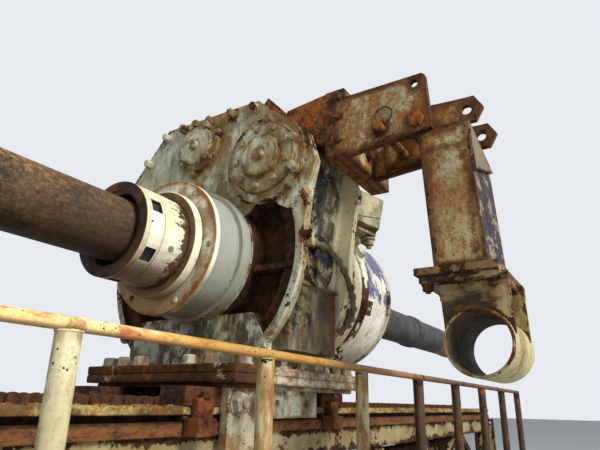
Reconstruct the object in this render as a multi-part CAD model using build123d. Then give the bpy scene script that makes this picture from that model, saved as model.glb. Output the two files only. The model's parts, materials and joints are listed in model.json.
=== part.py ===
"""Rotary drilling head of a soil improvement rig on a laid-down length of its leader.

Millimetres. X runs along the drill rod from the front of the head to its rear, +Y is the head's
left side, +Z is up, and the origin is on the floor under the middle of the leader.
"""
import os
from math import atan2, cos, degrees, hypot, pi, radians, sin

from build123d import *

# Driving dimensions

# Drill rod
ROD_OD = 216.3
ROD_WALL = 12.7
ROD_LENGTH = 4500.0
ROD_AHEAD_OF_CHUCK = 644.0
TOOL_JOINT_OD = 228.0
TOOL_JOINT_LENGTH = 150.0
COUPLING_OD = 236.0
COUPLING_LENGTH = 90.0
COUPLING_BEHIND_DRUM = 1210.0

# Running clearances
SEAT_GAP = 0.3
RUN_GAP = 5.0

# Gear housing, measured from its front face
HOUSING_FRONT_X = -1175.0
HOUSING_FLANGE = 42.0
HOUSING_DEPTH = 420.0
HOUSING_ROUND_R = 484.0
HOUSING_TOP_ABOVE_ROD = 652.0
HOUSING_TOP_WIDTH = 518.0
RIGHT_SHOULDER_Y = -500.0
RIGHT_SHOULDER_ABOVE_ROD = 441.0
LEFT_SHOULDER_Y = 522.0
LEFT_SHOULDER_ABOVE_ROD = 348.0
SIDE_WIDTH = 1072.0
SIDE_ABOVE_ROD = 320.0
RIM_TOP_WIDTH = 1020.0
RIM_TOP_ABOVE_ROD = 215.0
RIM_LOW_ABOVE_ROD = 24.0
WAIST_SHARE = 0.87
REAR_SHARE = 0.99
POCKET_DEPTH = 95.0
POCKET_TOP_ABOVE_ROD = 212.0
FLANGE_WEB = 14.0
WAIST_WALL = 20.0
RIM_WIDTH = 26.0
RIB_THICK = 20.0
RIB_SETBACK = 14.0
RIB_BELOW_ROD = 60.0
SLANT_RIB_LENGTH = 150.0
SLANT_RIB_TURN = -35.0
BOSS_RIB_TURN = 152.0
BOSS_RIB_LENGTH = 130.0
LUG_REACH = 36.0
LUG_HEIGHT = 58.0
LUG_THICK = 22.0
LUG_ABOVE_ROD = 17.0
LUG_HOLE_R = 8.0

# Front boss and chuck, lengths measured forwards from the housing's front face
BOSS_RING_R = 257.0
BOSS_RING_THICK = 26.0
BOSS_NECK_R = 243.0
BOSS_ROOT_R = 262.0
BOSS_ROOT_LENGTH = 50.0
BOSS_LENGTH = 199.0
SPINDLE_R = 150.0
SPINDLE_BORE_R = 129.7
HOUSING_BORE_R = 158.0
BEARING_LENGTH = 46.0
COLLAR_R = 201.0
COLLAR_THICK = 34.0
SLEEVE_R = 167.6
SLEEVE_LENGTH = 193.0
SLEEVE_GROOVE = 3.0
SLEEVE_GROOVE_WIDTH = 4.0
SEAMS_FROM_FACE = (20.0, 80.0)
WINDOW_COUNT = 6
WINDOW_WIDTH = 50.0
WINDOW_LENGTH = 46.0
WINDOW_FROM_FACE = 50.0
WINDOW_DEPTH = 15.0
WINDOW_FIRST_TURN = 66.0
JAW_COUNT = 3
JAW_LENGTH = 90.0
JAW_WIDTH = 70.0
JAW_FROM_FACE = 80.0

# Pinion covers on the front face
BIG_PINION_Y = -316.0
BIG_PINION_ABOVE_ROD = 362.0
BIG_BOSS_R = 182.0
BIG_FLANGE_R = 150.0
BIG_COVER_R = 86.0
BIG_CAP_R = 24.0
SMALL_PINION_Y = 48.0
SMALL_PINION_ABOVE_ROD = 507.0
SMALL_BOSS_R = 112.0
SMALL_COVER_R = 88.0
SMALL_CAP_R = 20.0
COVER_STEP = 20.0
CAP_THICK = 13.0

# Hydraulic motor behind the big pinion
MOTOR_FLANGE_R = 150.0
MOTOR_FLANGE_THICK = 30.0
MOTOR_BARREL_R = 108.0
MOTOR_BARREL_LENGTH = 130.0
MOTOR_BLOCK_LENGTH = 235.0
MOTOR_BLOCK_WIDTH = 150.0
MOTOR_BLOCK_DEPTH = 180.0
MOTOR_BEND_TURN = -38.0
MOTOR_DROP_TURN = 22.0
MOTOR_PORT_WIDTH = 96.0
MOTOR_PORT_HEIGHT = 50.0

# Lubrication pump in the right recess, its box and its pipe
PUMP_R = 106.0
PUMP_Y = -440.0
PUMP_BELOW_ROD = 14.0
PUMP_CAP_R = 70.0
PUMP_CAP_THICK = 22.0
BOX_OUTER_Y = -412.0
BOX_INNER_Y = -330.0
BOX_TOP_BELOW_ROD = 120.0
BOX_LOW_BELOW_ROD = 366.0
BOX_LID_THICK = 12.0
PIPE_R = 11.0
PIPE_ROOT = 4.0
PIPE_RUN = ((HOUSING_FLANGE - PIPE_ROOT, 24.0, 26.0), (130.0, 12.0, 34.0), (260.0, 10.0, 30.0),
            (352.0, -8.0, -62.0),
            (440.0, 10.0, -150.0), (432.0, 22.0, -226.0), (402.0, 66.0, -272.0))
PORT_BLOCK_Y = 520.0
PORT_BLOCK_OUTER_Y = 640.0
PORT_BLOCK_BELOW_ROD = 120.0
PORT_BLOCK_HEIGHT = 190.0
PORT_BLOCK_LENGTH = 130.0
PORT_R = 26.0
PORT_LENGTH = 34.0

# Rear of the head
REAR_FLANGE = 36.0
NECK_R = 330.0
NECK_LENGTH = 250.0
DRUM_R = 365.5
DRUM_LENGTH = 450.0
DRUM_RIM = 34.0
DRUM_RIM_STEP = 8.0
DRUM_SEAT_FROM_REAR = 60.0
CLAMP_WIDTH = 60.0
CLAMP_THICK = 10.0
CLAMP_FROM_FRONT = 84.0
CLAMP_LUGS = 8
CLAMP_LUG_WIDTH = 70.0
CLAMP_LUG_HEIGHT = 26.0

# Feet of the head and the carriage
FOOT_TOP_BELOW_ROD = 424.0
FOOT_THICK = 30.0
FOOT_WIDTH = 720.0
FOOT_AHEAD_OF_HOUSING = 175.0
FOOT_LENGTH = 900.0
CHEEK_THICK = 30.0
CHEEK_FROM_FRONT = 40.0
CHEEK_LENGTH = 560.0
CHEEK_DROP = 96.0
CHEEK_FRONT_LENGTH = 180.0
CHEEK_FRONT_DROP = 190.0
CHEEK_HOLE_R = 14.0
CHEEK_HOLE_PITCH = 202.0
CHEEK_HOLE_FROM_REAR = 80.0
CHEEK_HOLE_DROP = 46.0
UNDERPLATE_THICK = 15.0
UNDERPLATE_WIDTH = 660.0
UNDERPLATE_FROM_FRONT = 30.0
PEDESTAL_WIDTH = 680.0
PEDESTAL_WAIST_WIDTH = 560.0
PEDESTAL_SHOULDER = 94.0
SHOE_LENGTH = 190.0
SHOE_PAD = 58.0
SHOE_FROM_FRONT = -121.0
SHOE_FROM_REAR = 200.0
SHOE_BLOCK_LENGTH = 80.0
SHOE_BLOCK_OUTER_Y = 333.0
SHOE_BLOCK_HEIGHT = 50.0
SHOE_NECK_LENGTH = 68.0
SHOE_NECK_SETBACK = 28.0
SHOE_NECK_OUTER_Y = 304.0
SHOE_NECK_TOP = 24.0
KEEPER_GAP = 2.0

# Leader and its rails
BAY = 800.0
BAYS = 6
CHORD = 100.0
CHORD_CENTRE_Y = 200.0
LEADER_DEPTH = 650.0
BRACE = 60.0
DIAGONAL = 48.0
RAIL_OUTER_Y = 270.0
RAIL_WIDTH = 110.0
RAIL_FOOT = 40.0
RAIL_HEAD = 25.0
RAIL_HEIGHT = 83.0
RAIL_WEB_INSET = 45.0
RAIL_WEB = 22.0
END_FLANGE = 28.0
END_FLANGE_MARGIN = 50.0
SPLICE_BOLT_Y = 274.0
SPLICE_BOLT_EDGE = 30.0
SPLICE_HOLE_R = 13.0

# Feed chain
CHAIN_PITCH = 63.5
CHAIN_HEIGHT = 50.0
CHAIN_CORE = 30.0
CHAIN_PLATE = 9.0
CHAIN_INNER_WIDTH = 38.0
CHAIN_ROLLER_R = 19.8
SPROCKET_TEETH = 13
SPROCKET_THICK = 35.0
SPROCKET_HUB_R = 75.0
SPROCKET_HUB_WIDTH = 120.0
SPROCKET_FROM_END = 330.0
SPROCKET_SHAFT_R = 40.0
TOOTH_TIP = 12.0
TOOTH_ROOT_WIDTH = 30.0
TOOTH_TIP_WIDTH = 12.0
TRAY_BELOW_RAIL_TOP = 18.0
TRAY_THICK = 10.0
TRAY_WIDTH = 240.0
TRAY_END_GAP = 60.0

# Beams on the floor
BEAM_HEIGHT = 300.0
BEAM_WIDTH = 300.0
BEAM_WEB = 12.0
BEAM_FLANGE = 18.0
BEAM_LEFT = 420.0
BEAM_RIGHT = -640.0
BEAM_SPACING = 1600.0

# Walkway and handrail on the right side
RAIL_LINE_Y = -540.0
HANDRAIL_ABOVE_WALKWAY = 871.0
POST_OD = 48.6
TUBE_OD = 27.2
TUBE_FRONT_OVERHANG = 300.0
TUBE_REAR_OVERHANG = 60.0
WALKWAY_ANGLE = 50.0
WALKWAY_ANGLE_DROP = 60.0
POST_PITCH = 624.0
POST_FIRST_X = -2066.0
POST_COUNT = 8
WALKWAY_THICK = 6.0
WALKWAY_INNER_Y = -270.0
WALKWAY_OUTER_Y = -600.0
POST_BASE = 110.0
POST_BASE_THICK = 12.0

# Side arm that holds the pipe ring
ARM_BEHIND_FACE = 55.0
BRACKET_PLATE = 20.0
BRACKET_TOP_ABOVE_ROD = 618.0
BRACKET_INNER_Y = -370.0
BRACKET_LOW_ABOVE_ROD = 404.0
BRACKET_BASE_THICK = 14.0
BRACKET_BASE_LENGTH = 400.0
BRACKET_LIP = 34.0
JOINT_FACE_Y = -582.0
JOINT_PLATE = 34.0
JOINT_TOP_ABOVE_ROD = 622.0
JOINT_LOW_ABOVE_ROD = 338.0
JOINT_LENGTH = 430.0
CLEVIS_FLANGE = 48.0
CLEVIS_PLATE = 24.0
CLEVIS_REACH_Y = -962.0
CLEVIS_TOP_ABOVE_ROD = 580.0
CLEVIS_NEAR_LOW_ABOVE_ROD = 324.0
CLEVIS_FAR_LOW_ABOVE_ROD = 354.0
CLEVIS_EYE_Y = -907.0
CLEVIS_EYE_ABOVE_ROD = 546.0
CLEVIS_EYE_R = 15.0
CLEVIS_CUT = 12.0
ARM_PLATE = 20.0
ARM_DEPTH = 228.0
ARM_SIDE_GAP = 2.0
ARM_HOLE_Y = -1074.0
ARM_HOLE_ABOVE_ROD = 399.0
ARM_HOLE_R = 17.0
ARM_END_R = 55.0
ARM_ROOT_Y = -690.0
ARM_ROOT_TOP_ABOVE_ROD = 470.0
ARM_WEB_Y = -880.0
ARM_WEB_LENGTH = 26.0
ARM_TAIL_FAR_Y = -1060.0
PIN_CLEARANCE = 0.5
LOCK_PIN_Y = -778.0
LOCK_PIN_ABOVE_ROD = 397.0
HINGE_BOLT_Y = -907.0
HINGE_BOLT_ABOVE_ROD = 399.0
LOCK_PIN_R = 17.0
HINGE_BOLT_R = 20.0
HINGE_HEAD_R = 32.0
HINGE_HEAD_THICK = 20.0
PIN_FRONT_REACH = 34.0
PIN_REAR_REACH = 46.0
POST_NEAR_Y = -930.0
POST_FAR_Y = -1095.0
POST_LEAN = 24.0
POST_TOP_ABOVE_ROD = 352.0
POST_SHOULDER_ABOVE_ROD = 284.0
GUSSET_LOW_ABOVE_ROD = 172.0
POST_FOOT_BELOW_ROD = 128.0
POST_DEPTH = 300.0
POST_WALL = 12.0
GUSSET_THICK = 10.0
GUSSET_OVERHANG = 16.0
RING_FLANGE_LENGTH = 460.0
RING_FLANGE_THICK = 24.0
RING_FLANGE_NEAR_Y = -863.0
RING_FLANGE_FAR_Y = -1122.0
RING_R = 101.8
RING_WALL = 9.0
RING_Y = -1042.0
RING_BELOW_ROD = 365.0
RING_LENGTH = 330.0
SADDLE_PLATE = 16.0
SADDLE_FROM_RING_END = 30.0
SADDLE_ABOVE_AXIS = 24.0
SADDLE_TOP_EXTRA = 12.0

# Sizes worked out from those above
LEADER_LENGTH = BAY * BAYS
LEADER_FRONT_X = -LEADER_LENGTH / 2
LEADER_LOW = BEAM_HEIGHT
LEADER_TOP = LEADER_LOW + LEADER_DEPTH
RAIL_TOP = LEADER_TOP + RAIL_HEIGHT
UNDERPLATE_LOW = RAIL_TOP + SHOE_PAD
UNDERPLATE_TOP = UNDERPLATE_LOW + UNDERPLATE_THICK
LOWER_FOOT_TOP = UNDERPLATE_TOP + FOOT_THICK
FOOT_TOP = LOWER_FOOT_TOP + FOOT_THICK
ROD_AXIS_Z = FOOT_TOP + FOOT_TOP_BELOW_ROD
FOOT_FRONT_X = HOUSING_FRONT_X - FOOT_AHEAD_OF_HOUSING
HOUSING_MIDDLE_X = HOUSING_FRONT_X + HOUSING_DEPTH / 2
HOUSING_REAR_X = HOUSING_FRONT_X + HOUSING_DEPTH
BOSS_FRONT_X = HOUSING_FRONT_X - BOSS_LENGTH
COLLAR_REAR_X = BOSS_FRONT_X - RUN_GAP
COLLAR_FRONT_X = COLLAR_REAR_X - COLLAR_THICK
SLEEVE_FRONT_X = COLLAR_FRONT_X - SLEEVE_LENGTH
NECK_REAR_X = HOUSING_REAR_X + NECK_LENGTH
DRUM_REAR_X = NECK_REAR_X + DRUM_LENGTH
ROD_FRONT_X = SLEEVE_FRONT_X - ROD_AHEAD_OF_CHUCK
ARM_FRONT_X = HOUSING_FRONT_X + ARM_BEHIND_FACE
ARM_NEAR_X = ARM_FRONT_X + CLEVIS_PLATE + ARM_SIDE_GAP
TRAY_TOP = RAIL_TOP - TRAY_BELOW_RAIL_TOP
CHAIN_TOP_LINE = TRAY_TOP + CHAIN_HEIGHT / 2
SPROCKET_R = CHAIN_PITCH / (2 * sin(pi / SPROCKET_TEETH))
SPROCKET_Z = CHAIN_TOP_LINE - SPROCKET_R
SPROCKET_X = LEADER_LENGTH / 2 - SPROCKET_FROM_END
CHEEK_INNER_Y = RAIL_OUTER_Y + RUN_GAP
BIG_PINION = (BIG_PINION_Y, BIG_PINION_ABOVE_ROD + ROD_AXIS_Z)
SMALL_PINION = (SMALL_PINION_Y, SMALL_PINION_ABOVE_ROD + ROD_AXIS_Z)
LOCK_PIN = (LOCK_PIN_Y, LOCK_PIN_ABOVE_ROD + ROD_AXIS_Z)
HINGE_BOLT = (HINGE_BOLT_Y, HINGE_BOLT_ABOVE_ROD + ROD_AXIS_Z)
RING_AXIS = (RING_Y, ROD_AXIS_Z - RING_BELOW_ROD)


def box(x0, x1, y0, y1, z0, z1):
    """Box between two corners."""
    return Pos((x0 + x1) / 2, (y0 + y1) / 2, (z0 + z1) / 2) * Box(abs(x1 - x0), abs(y1 - y0),
                                                                  abs(z1 - z0))


def rod_x(radius, x0, x1, y=0.0, z=ROD_AXIS_Z):
    """Round bar along X."""
    return Pos((x0 + x1) / 2, y, z) * Rot(0, 90, 0) * Cylinder(radius, x1 - x0)


def rod_y(radius, y0, y1, x, z):
    """Round bar along Y."""
    return Pos(x, (y0 + y1) / 2, z) * Rot(90, 0, 0) * Cylinder(radius, abs(y1 - y0))


def rod_z(radius, z0, z1, x, y):
    """Round bar along Z."""
    return Pos(x, y, (z0 + z1) / 2) * Cylinder(radius, z1 - z0)


def across(face, x0, x1):
    """Extrude a face drawn in Y and Z from x0 to x1."""
    return extrude(Plane.YZ.offset(x0) * face, x1 - x0)


def along_y(face, y0, y1):
    """Extrude a face drawn in X and Z from y0 to y1, y0 being the lower of the two."""
    return extrude(Plane.XZ.offset(-y1) * face, y1 - y0)


def outline(points):
    """Face inside a closed run of straight lines."""
    return make_face(Polyline(*points, close=True))


def joined(pieces):
    """All the pieces fused in one step."""
    return pieces[0].fuse(*pieces[1:])


def save(shape, name):
    """Write one piece to its own file."""
    export_step(shape, f"parts/{name}.step")


def about_rod(points):
    """Points given from the rod axis, moved to the floor frame."""
    return [(y, z + ROD_AXIS_Z) for y, z in points]


def housing_face(share=1.0):
    """Outline of the gear housing: shouldered top over a round about the rod, shrunk about the rod."""
    half = HOUSING_TOP_WIDTH / 2
    side = SIDE_WIDTH / 2
    rim = RIM_TOP_WIDTH / 2
    points = [(-half, HOUSING_TOP_ABOVE_ROD), (half, HOUSING_TOP_ABOVE_ROD),
              (LEFT_SHOULDER_Y, LEFT_SHOULDER_ABOVE_ROD),
              (rim, RIM_TOP_ABOVE_ROD), (HOUSING_ROUND_R, RIM_LOW_ABOVE_ROD), (0, 0),
              (-HOUSING_ROUND_R, RIM_LOW_ABOVE_ROD), (-rim, RIM_TOP_ABOVE_ROD), (-side, SIDE_ABOVE_ROD),
              (RIGHT_SHOULDER_Y, RIGHT_SHOULDER_ABOVE_ROD)]
    upper = outline(about_rod([(y * share, z * share) for y, z in points]))
    return upper + Pos(0, ROD_AXIS_Z) * Circle(HOUSING_ROUND_R * share)


def foot_room():
    """What lies under the top of the head's foot plate, cut from the housing."""
    return box(HOUSING_FRONT_X - BAY, HOUSING_REAR_X + BAY, -SIDE_WIDTH, SIDE_WIDTH, 0, FOOT_TOP)


def front_housing():
    """Front casting: flanged rim, shaft bosses, and pockets with ribs beside the main boss."""
    split_x = HOUSING_FRONT_X + HOUSING_FLANGE
    shape = across(housing_face(), HOUSING_FRONT_X, split_x)
    shape += across(housing_face(WAIST_SHARE), split_x, HOUSING_MIDDLE_X)
    shape -= pockets()
    shape += ribs()
    for (y, z), radius in ((BIG_PINION, BIG_BOSS_R), (SMALL_PINION, SMALL_BOSS_R)):
        boss = rod_x(radius, HOUSING_FRONT_X - COVER_STEP, HOUSING_MIDDLE_X - COVER_STEP, y, z)
        shape += boss & across(housing_face(), HOUSING_FRONT_X - BAY, HOUSING_MIDDLE_X)
    shape += pedestal(HOUSING_FRONT_X, HOUSING_MIDDLE_X)
    shape += rim_lug()
    shape -= rod_x(HOUSING_BORE_R, HOUSING_FRONT_X - BAY, HOUSING_MIDDLE_X + 1)
    return shape - foot_room()


def pockets():
    """Hollows beside the main boss, open to the front: shallow at the rim, deep near the boss."""
    low = FOOT_TOP_BELOW_ROD - RIM_WIDTH
    side = outline(about_rod([(-HOUSING_ROUND_R, POCKET_TOP_ABOVE_ROD / 2),
                              (-BOSS_ROOT_R - RIM_WIDTH, POCKET_TOP_ABOVE_ROD),
                              (-BOSS_ROOT_R / 2, 0), (-BOSS_ROOT_R / 3, -BOSS_ROOT_R),
                              (-BOSS_ROOT_R, -low), (-HOUSING_ROUND_R, -low)]))
    hollow = None
    for outer, depth in ((HOUSING_ROUND_R - RIM_WIDTH, HOUSING_FLANGE - FLANGE_WEB),
                         (HOUSING_ROUND_R * WAIST_SHARE - WAIST_WALL, POCKET_DEPTH)):
        ring = Pos(0, ROD_AXIS_Z) * (Circle(outer) - Circle(BOSS_ROOT_R + RUN_GAP))
        step = across(ring & side, HOUSING_FRONT_X - 1, HOUSING_FRONT_X + depth)
        hollow = step if hollow is None else hollow + step
    return hollow + mirror(hollow, Plane.XZ)


def ribs():
    """Ribs across the pockets: level, under the boss and slanting beside the rim."""
    depth_x = HOUSING_FRONT_X + POCKET_DEPTH
    front_x = HOUSING_FRONT_X + RIB_SETBACK
    middle_x = (front_x + depth_x) / 2
    z = ROD_AXIS_Z - RIB_BELOW_ROD
    both = box(front_x, depth_x, -HOUSING_ROUND_R, -BOSS_ROOT_R, z - RIB_THICK, z)
    low = (HOUSING_ROUND_R - RIM_WIDTH) * cos(radians(45)) - RIM_WIDTH
    slant = Box(depth_x - front_x, RIB_THICK, SLANT_RIB_LENGTH)
    both += Pos(middle_x, -low, ROD_AXIS_Z - low) * Rot(SLANT_RIB_TURN, 0, 0) * slant
    out = BOSS_ROOT_R + BOSS_RIB_LENGTH / 2
    under_boss = Pos(middle_x, 0, out) * Box(depth_x - front_x, RIB_THICK, BOSS_RIB_LENGTH)
    both += Pos(0, 0, ROD_AXIS_Z) * Rot(BOSS_RIB_TURN, 0, 0) * under_boss
    return (both + mirror(both, Plane.XZ)) & pockets()


def pedestal(x0, x1):
    """Foot of the casting between its round and the foot plate."""
    foot = PEDESTAL_WIDTH / 2
    waist = PEDESTAL_WAIST_WIDTH / 2
    shoulder = PEDESTAL_SHOULDER - FOOT_TOP_BELOW_ROD
    face = outline(about_rod([(-foot, -FOOT_TOP_BELOW_ROD), (-foot, shoulder),
                              (-waist, shoulder + PEDESTAL_SHOULDER),
                              (waist, shoulder + PEDESTAL_SHOULDER), (foot, shoulder),
                              (foot, -FOOT_TOP_BELOW_ROD)]))
    return across(face, x0, x1)


def rim_lug():
    """Small lug with an eye on the right edge of the front flange."""
    x0 = HOUSING_FRONT_X + (HOUSING_FLANGE - LUG_THICK) / 2
    z = ROD_AXIS_Z + LUG_ABOVE_ROD
    y = -HOUSING_ROUND_R - LUG_REACH / 2
    lug = box(x0, x0 + LUG_THICK, y - LUG_REACH / 2, y + LUG_REACH, z - LUG_HEIGHT / 2,
              z + LUG_HEIGHT / 2)
    return lug - rod_x(LUG_HOLE_R, x0 - 1, x0 + LUG_THICK + 1, y, z)


def rear_housing():
    """Rear casting with its own flange, bolted to the front one at mid depth."""
    flange_x = HOUSING_REAR_X - REAR_FLANGE
    shape = across(housing_face(WAIST_SHARE), HOUSING_MIDDLE_X, flange_x)
    shape += across(housing_face(REAR_SHARE), flange_x, HOUSING_REAR_X)
    shape += pedestal(HOUSING_MIDDLE_X, HOUSING_REAR_X)
    shape -= rod_x(HOUSING_BORE_R, HOUSING_MIDDLE_X - 1, HOUSING_REAR_X + 1)
    return shape - foot_room()


def bearing_seat(x0):
    """Ring inside the bore that the spindle turns in."""
    seat = rod_x(HOUSING_BORE_R, x0, x0 + BEARING_LENGTH)
    return seat - rod_x(SPINDLE_R + SEAT_GAP, x0 - 1, x0 + BEARING_LENGTH + 1)


def front_boss():
    """Bolted ring and neck in front of the housing, with the front bearing seat."""
    ring_x = BOSS_FRONT_X + BOSS_RING_THICK
    root_x = HOUSING_FRONT_X - BOSS_ROOT_LENGTH
    shape = rod_x(BOSS_RING_R, BOSS_FRONT_X, ring_x)
    shape += rod_x(BOSS_NECK_R, ring_x, root_x)
    shape += rod_x(BOSS_ROOT_R, root_x, HOUSING_FRONT_X)
    shape -= rod_x(HOUSING_BORE_R, BOSS_FRONT_X - 1, HOUSING_FRONT_X + 1)
    return shape + bearing_seat(ring_x)


def big_pinion_cover():
    """Stepped bearing cover on the right shaft."""
    y, z = BIG_PINION
    face_x = HOUSING_FRONT_X - COVER_STEP
    shape = rod_x(BIG_FLANGE_R, face_x - COVER_STEP, face_x, y, z)
    shape += rod_x(BIG_COVER_R, face_x - 2 * COVER_STEP, face_x - COVER_STEP, y, z)
    return shape + rod_x(BIG_CAP_R, face_x - 2 * COVER_STEP - CAP_THICK, face_x - 2 * COVER_STEP, y, z)


def small_pinion_cover():
    """Bearing cover on the left shaft."""
    y, z = SMALL_PINION
    face_x = HOUSING_FRONT_X - COVER_STEP
    shape = rod_x(SMALL_COVER_R, face_x - COVER_STEP, face_x, y, z)
    return shape + rod_x(SMALL_CAP_R, face_x - COVER_STEP - CAP_THICK, face_x - COVER_STEP, y, z)


def drive_motor():
    """Hydraulic motor on the rear flange behind the big pinion: barrel and a block bent outwards."""
    y, z = BIG_PINION
    barrel_x = HOUSING_REAR_X + MOTOR_FLANGE_THICK
    bend_x = barrel_x + MOTOR_BARREL_LENGTH
    shape = rod_x(MOTOR_FLANGE_R, HOUSING_REAR_X, barrel_x, y, z)
    shape += rod_x(MOTOR_BARREL_R, barrel_x, bend_x, y, z)
    block = Pos(MOTOR_BLOCK_LENGTH / 2, 0, 0) * Box(MOTOR_BLOCK_LENGTH, MOTOR_BLOCK_WIDTH,
                                                    MOTOR_BLOCK_DEPTH)
    port = Pos(MOTOR_BLOCK_LENGTH - MOTOR_PORT_WIDTH / 2, 0, -MOTOR_BLOCK_DEPTH / 2) * Box(
        MOTOR_PORT_WIDTH, MOTOR_PORT_WIDTH, MOTOR_PORT_HEIGHT)
    bent = Pos(bend_x - MOTOR_BARREL_R / 2, y, z) * Rot(0, MOTOR_DROP_TURN,
                                                        MOTOR_BEND_TURN) * (block + port)
    reach = max(NECK_R, DRUM_R) + CLAMP_THICK + CLAMP_LUG_HEIGHT + RUN_GAP
    return shape + bent - rod_x(reach, HOUSING_REAR_X, DRUM_REAR_X)


def rear_neck():
    """Round housing between the rear flange and the swivel drum."""
    shape = rod_x(NECK_R, HOUSING_REAR_X, NECK_REAR_X)
    return shape - rod_x(HOUSING_BORE_R, HOUSING_REAR_X - 1, NECK_REAR_X + 1)


def swivel_drum():
    """Large drum at the back of the head, with a rim and the rear bearing seat."""
    shape = rod_x(DRUM_R, NECK_REAR_X, DRUM_REAR_X)
    groove_x = DRUM_REAR_X - DRUM_RIM
    groove = rod_x(DRUM_R + 1, groove_x - DRUM_RIM_STEP, groove_x)
    shape -= groove - rod_x(DRUM_R - DRUM_RIM_STEP, groove_x - BEARING_LENGTH, groove_x + 1)
    shape -= rod_x(HOUSING_BORE_R, NECK_REAR_X - 1, DRUM_REAR_X + 1)
    return shape + bearing_seat(DRUM_REAR_X - DRUM_SEAT_FROM_REAR - BEARING_LENGTH)


def drum_clamp():
    """Band round the front of the drum, with bolting lugs."""
    x0 = NECK_REAR_X + CLAMP_FROM_FRONT
    x1 = x0 + CLAMP_WIDTH
    outer = DRUM_R + CLAMP_THICK
    pieces = [rod_x(outer, x0, x1)]
    for index in range(CLAMP_LUGS):
        turn = Rot(360 / CLAMP_LUGS * (index + 1 / 3), 0, 0)
        lug = Pos((x0 + x1) / 2, 0, outer) * Box(CLAMP_WIDTH, CLAMP_LUG_WIDTH, 2 * CLAMP_LUG_HEIGHT)
        pieces.append(Pos(0, 0, ROD_AXIS_Z) * turn * lug)
    return joined(pieces) - rod_x(DRUM_R, x0 - 1, x1 + 1)


def lube_pump():
    """Round pump in the recess on the right, its axis across the head."""
    x = (HOUSING_FRONT_X + HOUSING_FLANGE + HOUSING_REAR_X - REAR_FLANGE) / 2
    z = ROD_AXIS_Z - PUMP_BELOW_ROD
    shape = rod_y(PUMP_R, PUMP_Y, 0, x, z) + rod_y(PUMP_CAP_R, PUMP_Y - PUMP_CAP_THICK, PUMP_Y, x, z)
    return shape - waist()


def waist():
    """The housing's body between its two flanges, cut from what is set against it."""
    return across(housing_face(WAIST_SHARE), HOUSING_FRONT_X, HOUSING_REAR_X)


def lube_box():
    """Box under the pump between the two flanges, with an overhanging lid."""
    x0 = HOUSING_FRONT_X + HOUSING_FLANGE + SEAT_GAP
    x1 = HOUSING_REAR_X - REAR_FLANGE - SEAT_GAP
    top = ROD_AXIS_Z - BOX_TOP_BELOW_ROD
    low = ROD_AXIS_Z - BOX_LOW_BELOW_ROD
    shape = box(x0, x1, BOX_OUTER_Y, BOX_INNER_Y, low, top)
    shape += box(x0, x1, BOX_OUTER_Y - BOX_LID_THICK, BOX_INNER_Y, top, top + BOX_LID_THICK)
    return shape - waist() - pedestal(x0 - 1, x1 + 1) - lube_pump()


def lube_pipe():
    """Rigid pipe from the lug on the front flange, over the pump and down beside the rear flange."""
    points = [
        (HOUSING_FRONT_X + along, -HOUSING_ROUND_R + out, ROD_AXIS_Z + up) for along, out, up in PIPE_RUN
    ]
    path = Polyline(*points)
    start = Plane(origin=path @ 0, z_dir=path % 0)
    pipe = sweep(start * Circle(PIPE_R), path=path, transition=Transition.ROUND)
    pipe = pipe - lube_pump() - lube_box() - waist()
    pipe -= across(housing_face(), HOUSING_FRONT_X, HOUSING_FRONT_X + HOUSING_FLANGE)
    return joined_one(pipe - across(housing_face(REAR_SHARE), HOUSING_REAR_X - REAR_FLANGE,
                                    HOUSING_REAR_X))


def port_block():
    """Block with hose ports on the left of the head."""
    x0 = HOUSING_MIDDLE_X - PORT_BLOCK_LENGTH / 2
    top = ROD_AXIS_Z - PORT_BLOCK_BELOW_ROD
    shape = box(x0, x0 + PORT_BLOCK_LENGTH, 0, PORT_BLOCK_Y, top - PORT_BLOCK_HEIGHT, top)
    shape -= waist() + pedestal(x0 - 1, x0 + PORT_BLOCK_LENGTH + 1)
    for z in (top - PORT_BLOCK_HEIGHT / 4, top - PORT_BLOCK_HEIGHT * 3 / 4):
        shape += rod_y(PORT_R, PORT_BLOCK_Y - PORT_LENGTH, PORT_BLOCK_OUTER_Y, HOUSING_MIDDLE_X, z)
    return shape


def chuck_sleeve():
    """Front sleeve of the chuck with seam grooves and windows round it."""
    sleeve = rod_x(SLEEVE_R, SLEEVE_FRONT_X, COLLAR_FRONT_X)
    for from_face in SEAMS_FROM_FACE:
        x = SLEEVE_FRONT_X + from_face
        ring = rod_x(SLEEVE_R + 1, x, x + SLEEVE_GROOVE_WIDTH)
        sleeve -= ring - rod_x(SLEEVE_R - SLEEVE_GROOVE, x - 1, x + SLEEVE_GROOVE_WIDTH + 1)
    cutter = Pos(SLEEVE_FRONT_X + WINDOW_FROM_FACE, 0, SLEEVE_R) * Box(WINDOW_LENGTH, WINDOW_WIDTH,
                                                                       2 * WINDOW_DEPTH)
    for index in range(WINDOW_COUNT):
        sleeve -= Pos(0, 0, ROD_AXIS_Z) * Rot(360 / WINDOW_COUNT * index + WINDOW_FIRST_TURN, 0,
                                              0) * cutter
    return sleeve - rod_x(SPINDLE_BORE_R, SLEEVE_FRONT_X - 1, COLLAR_FRONT_X + 1)


def chuck_collar():
    """Wide collar behind the sleeve."""
    disc = rod_x(COLLAR_R, COLLAR_FRONT_X, COLLAR_REAR_X)
    return disc - rod_x(SPINDLE_R, COLLAR_FRONT_X - 1, COLLAR_REAR_X + 1)


def spindle_tube():
    """Hollow spindle through the head, from the collar to the back of the drum."""
    tube = rod_x(SPINDLE_R, COLLAR_FRONT_X, DRUM_REAR_X)
    return tube - rod_x(SPINDLE_BORE_R, COLLAR_FRONT_X - 1, DRUM_REAR_X + 1)


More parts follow.
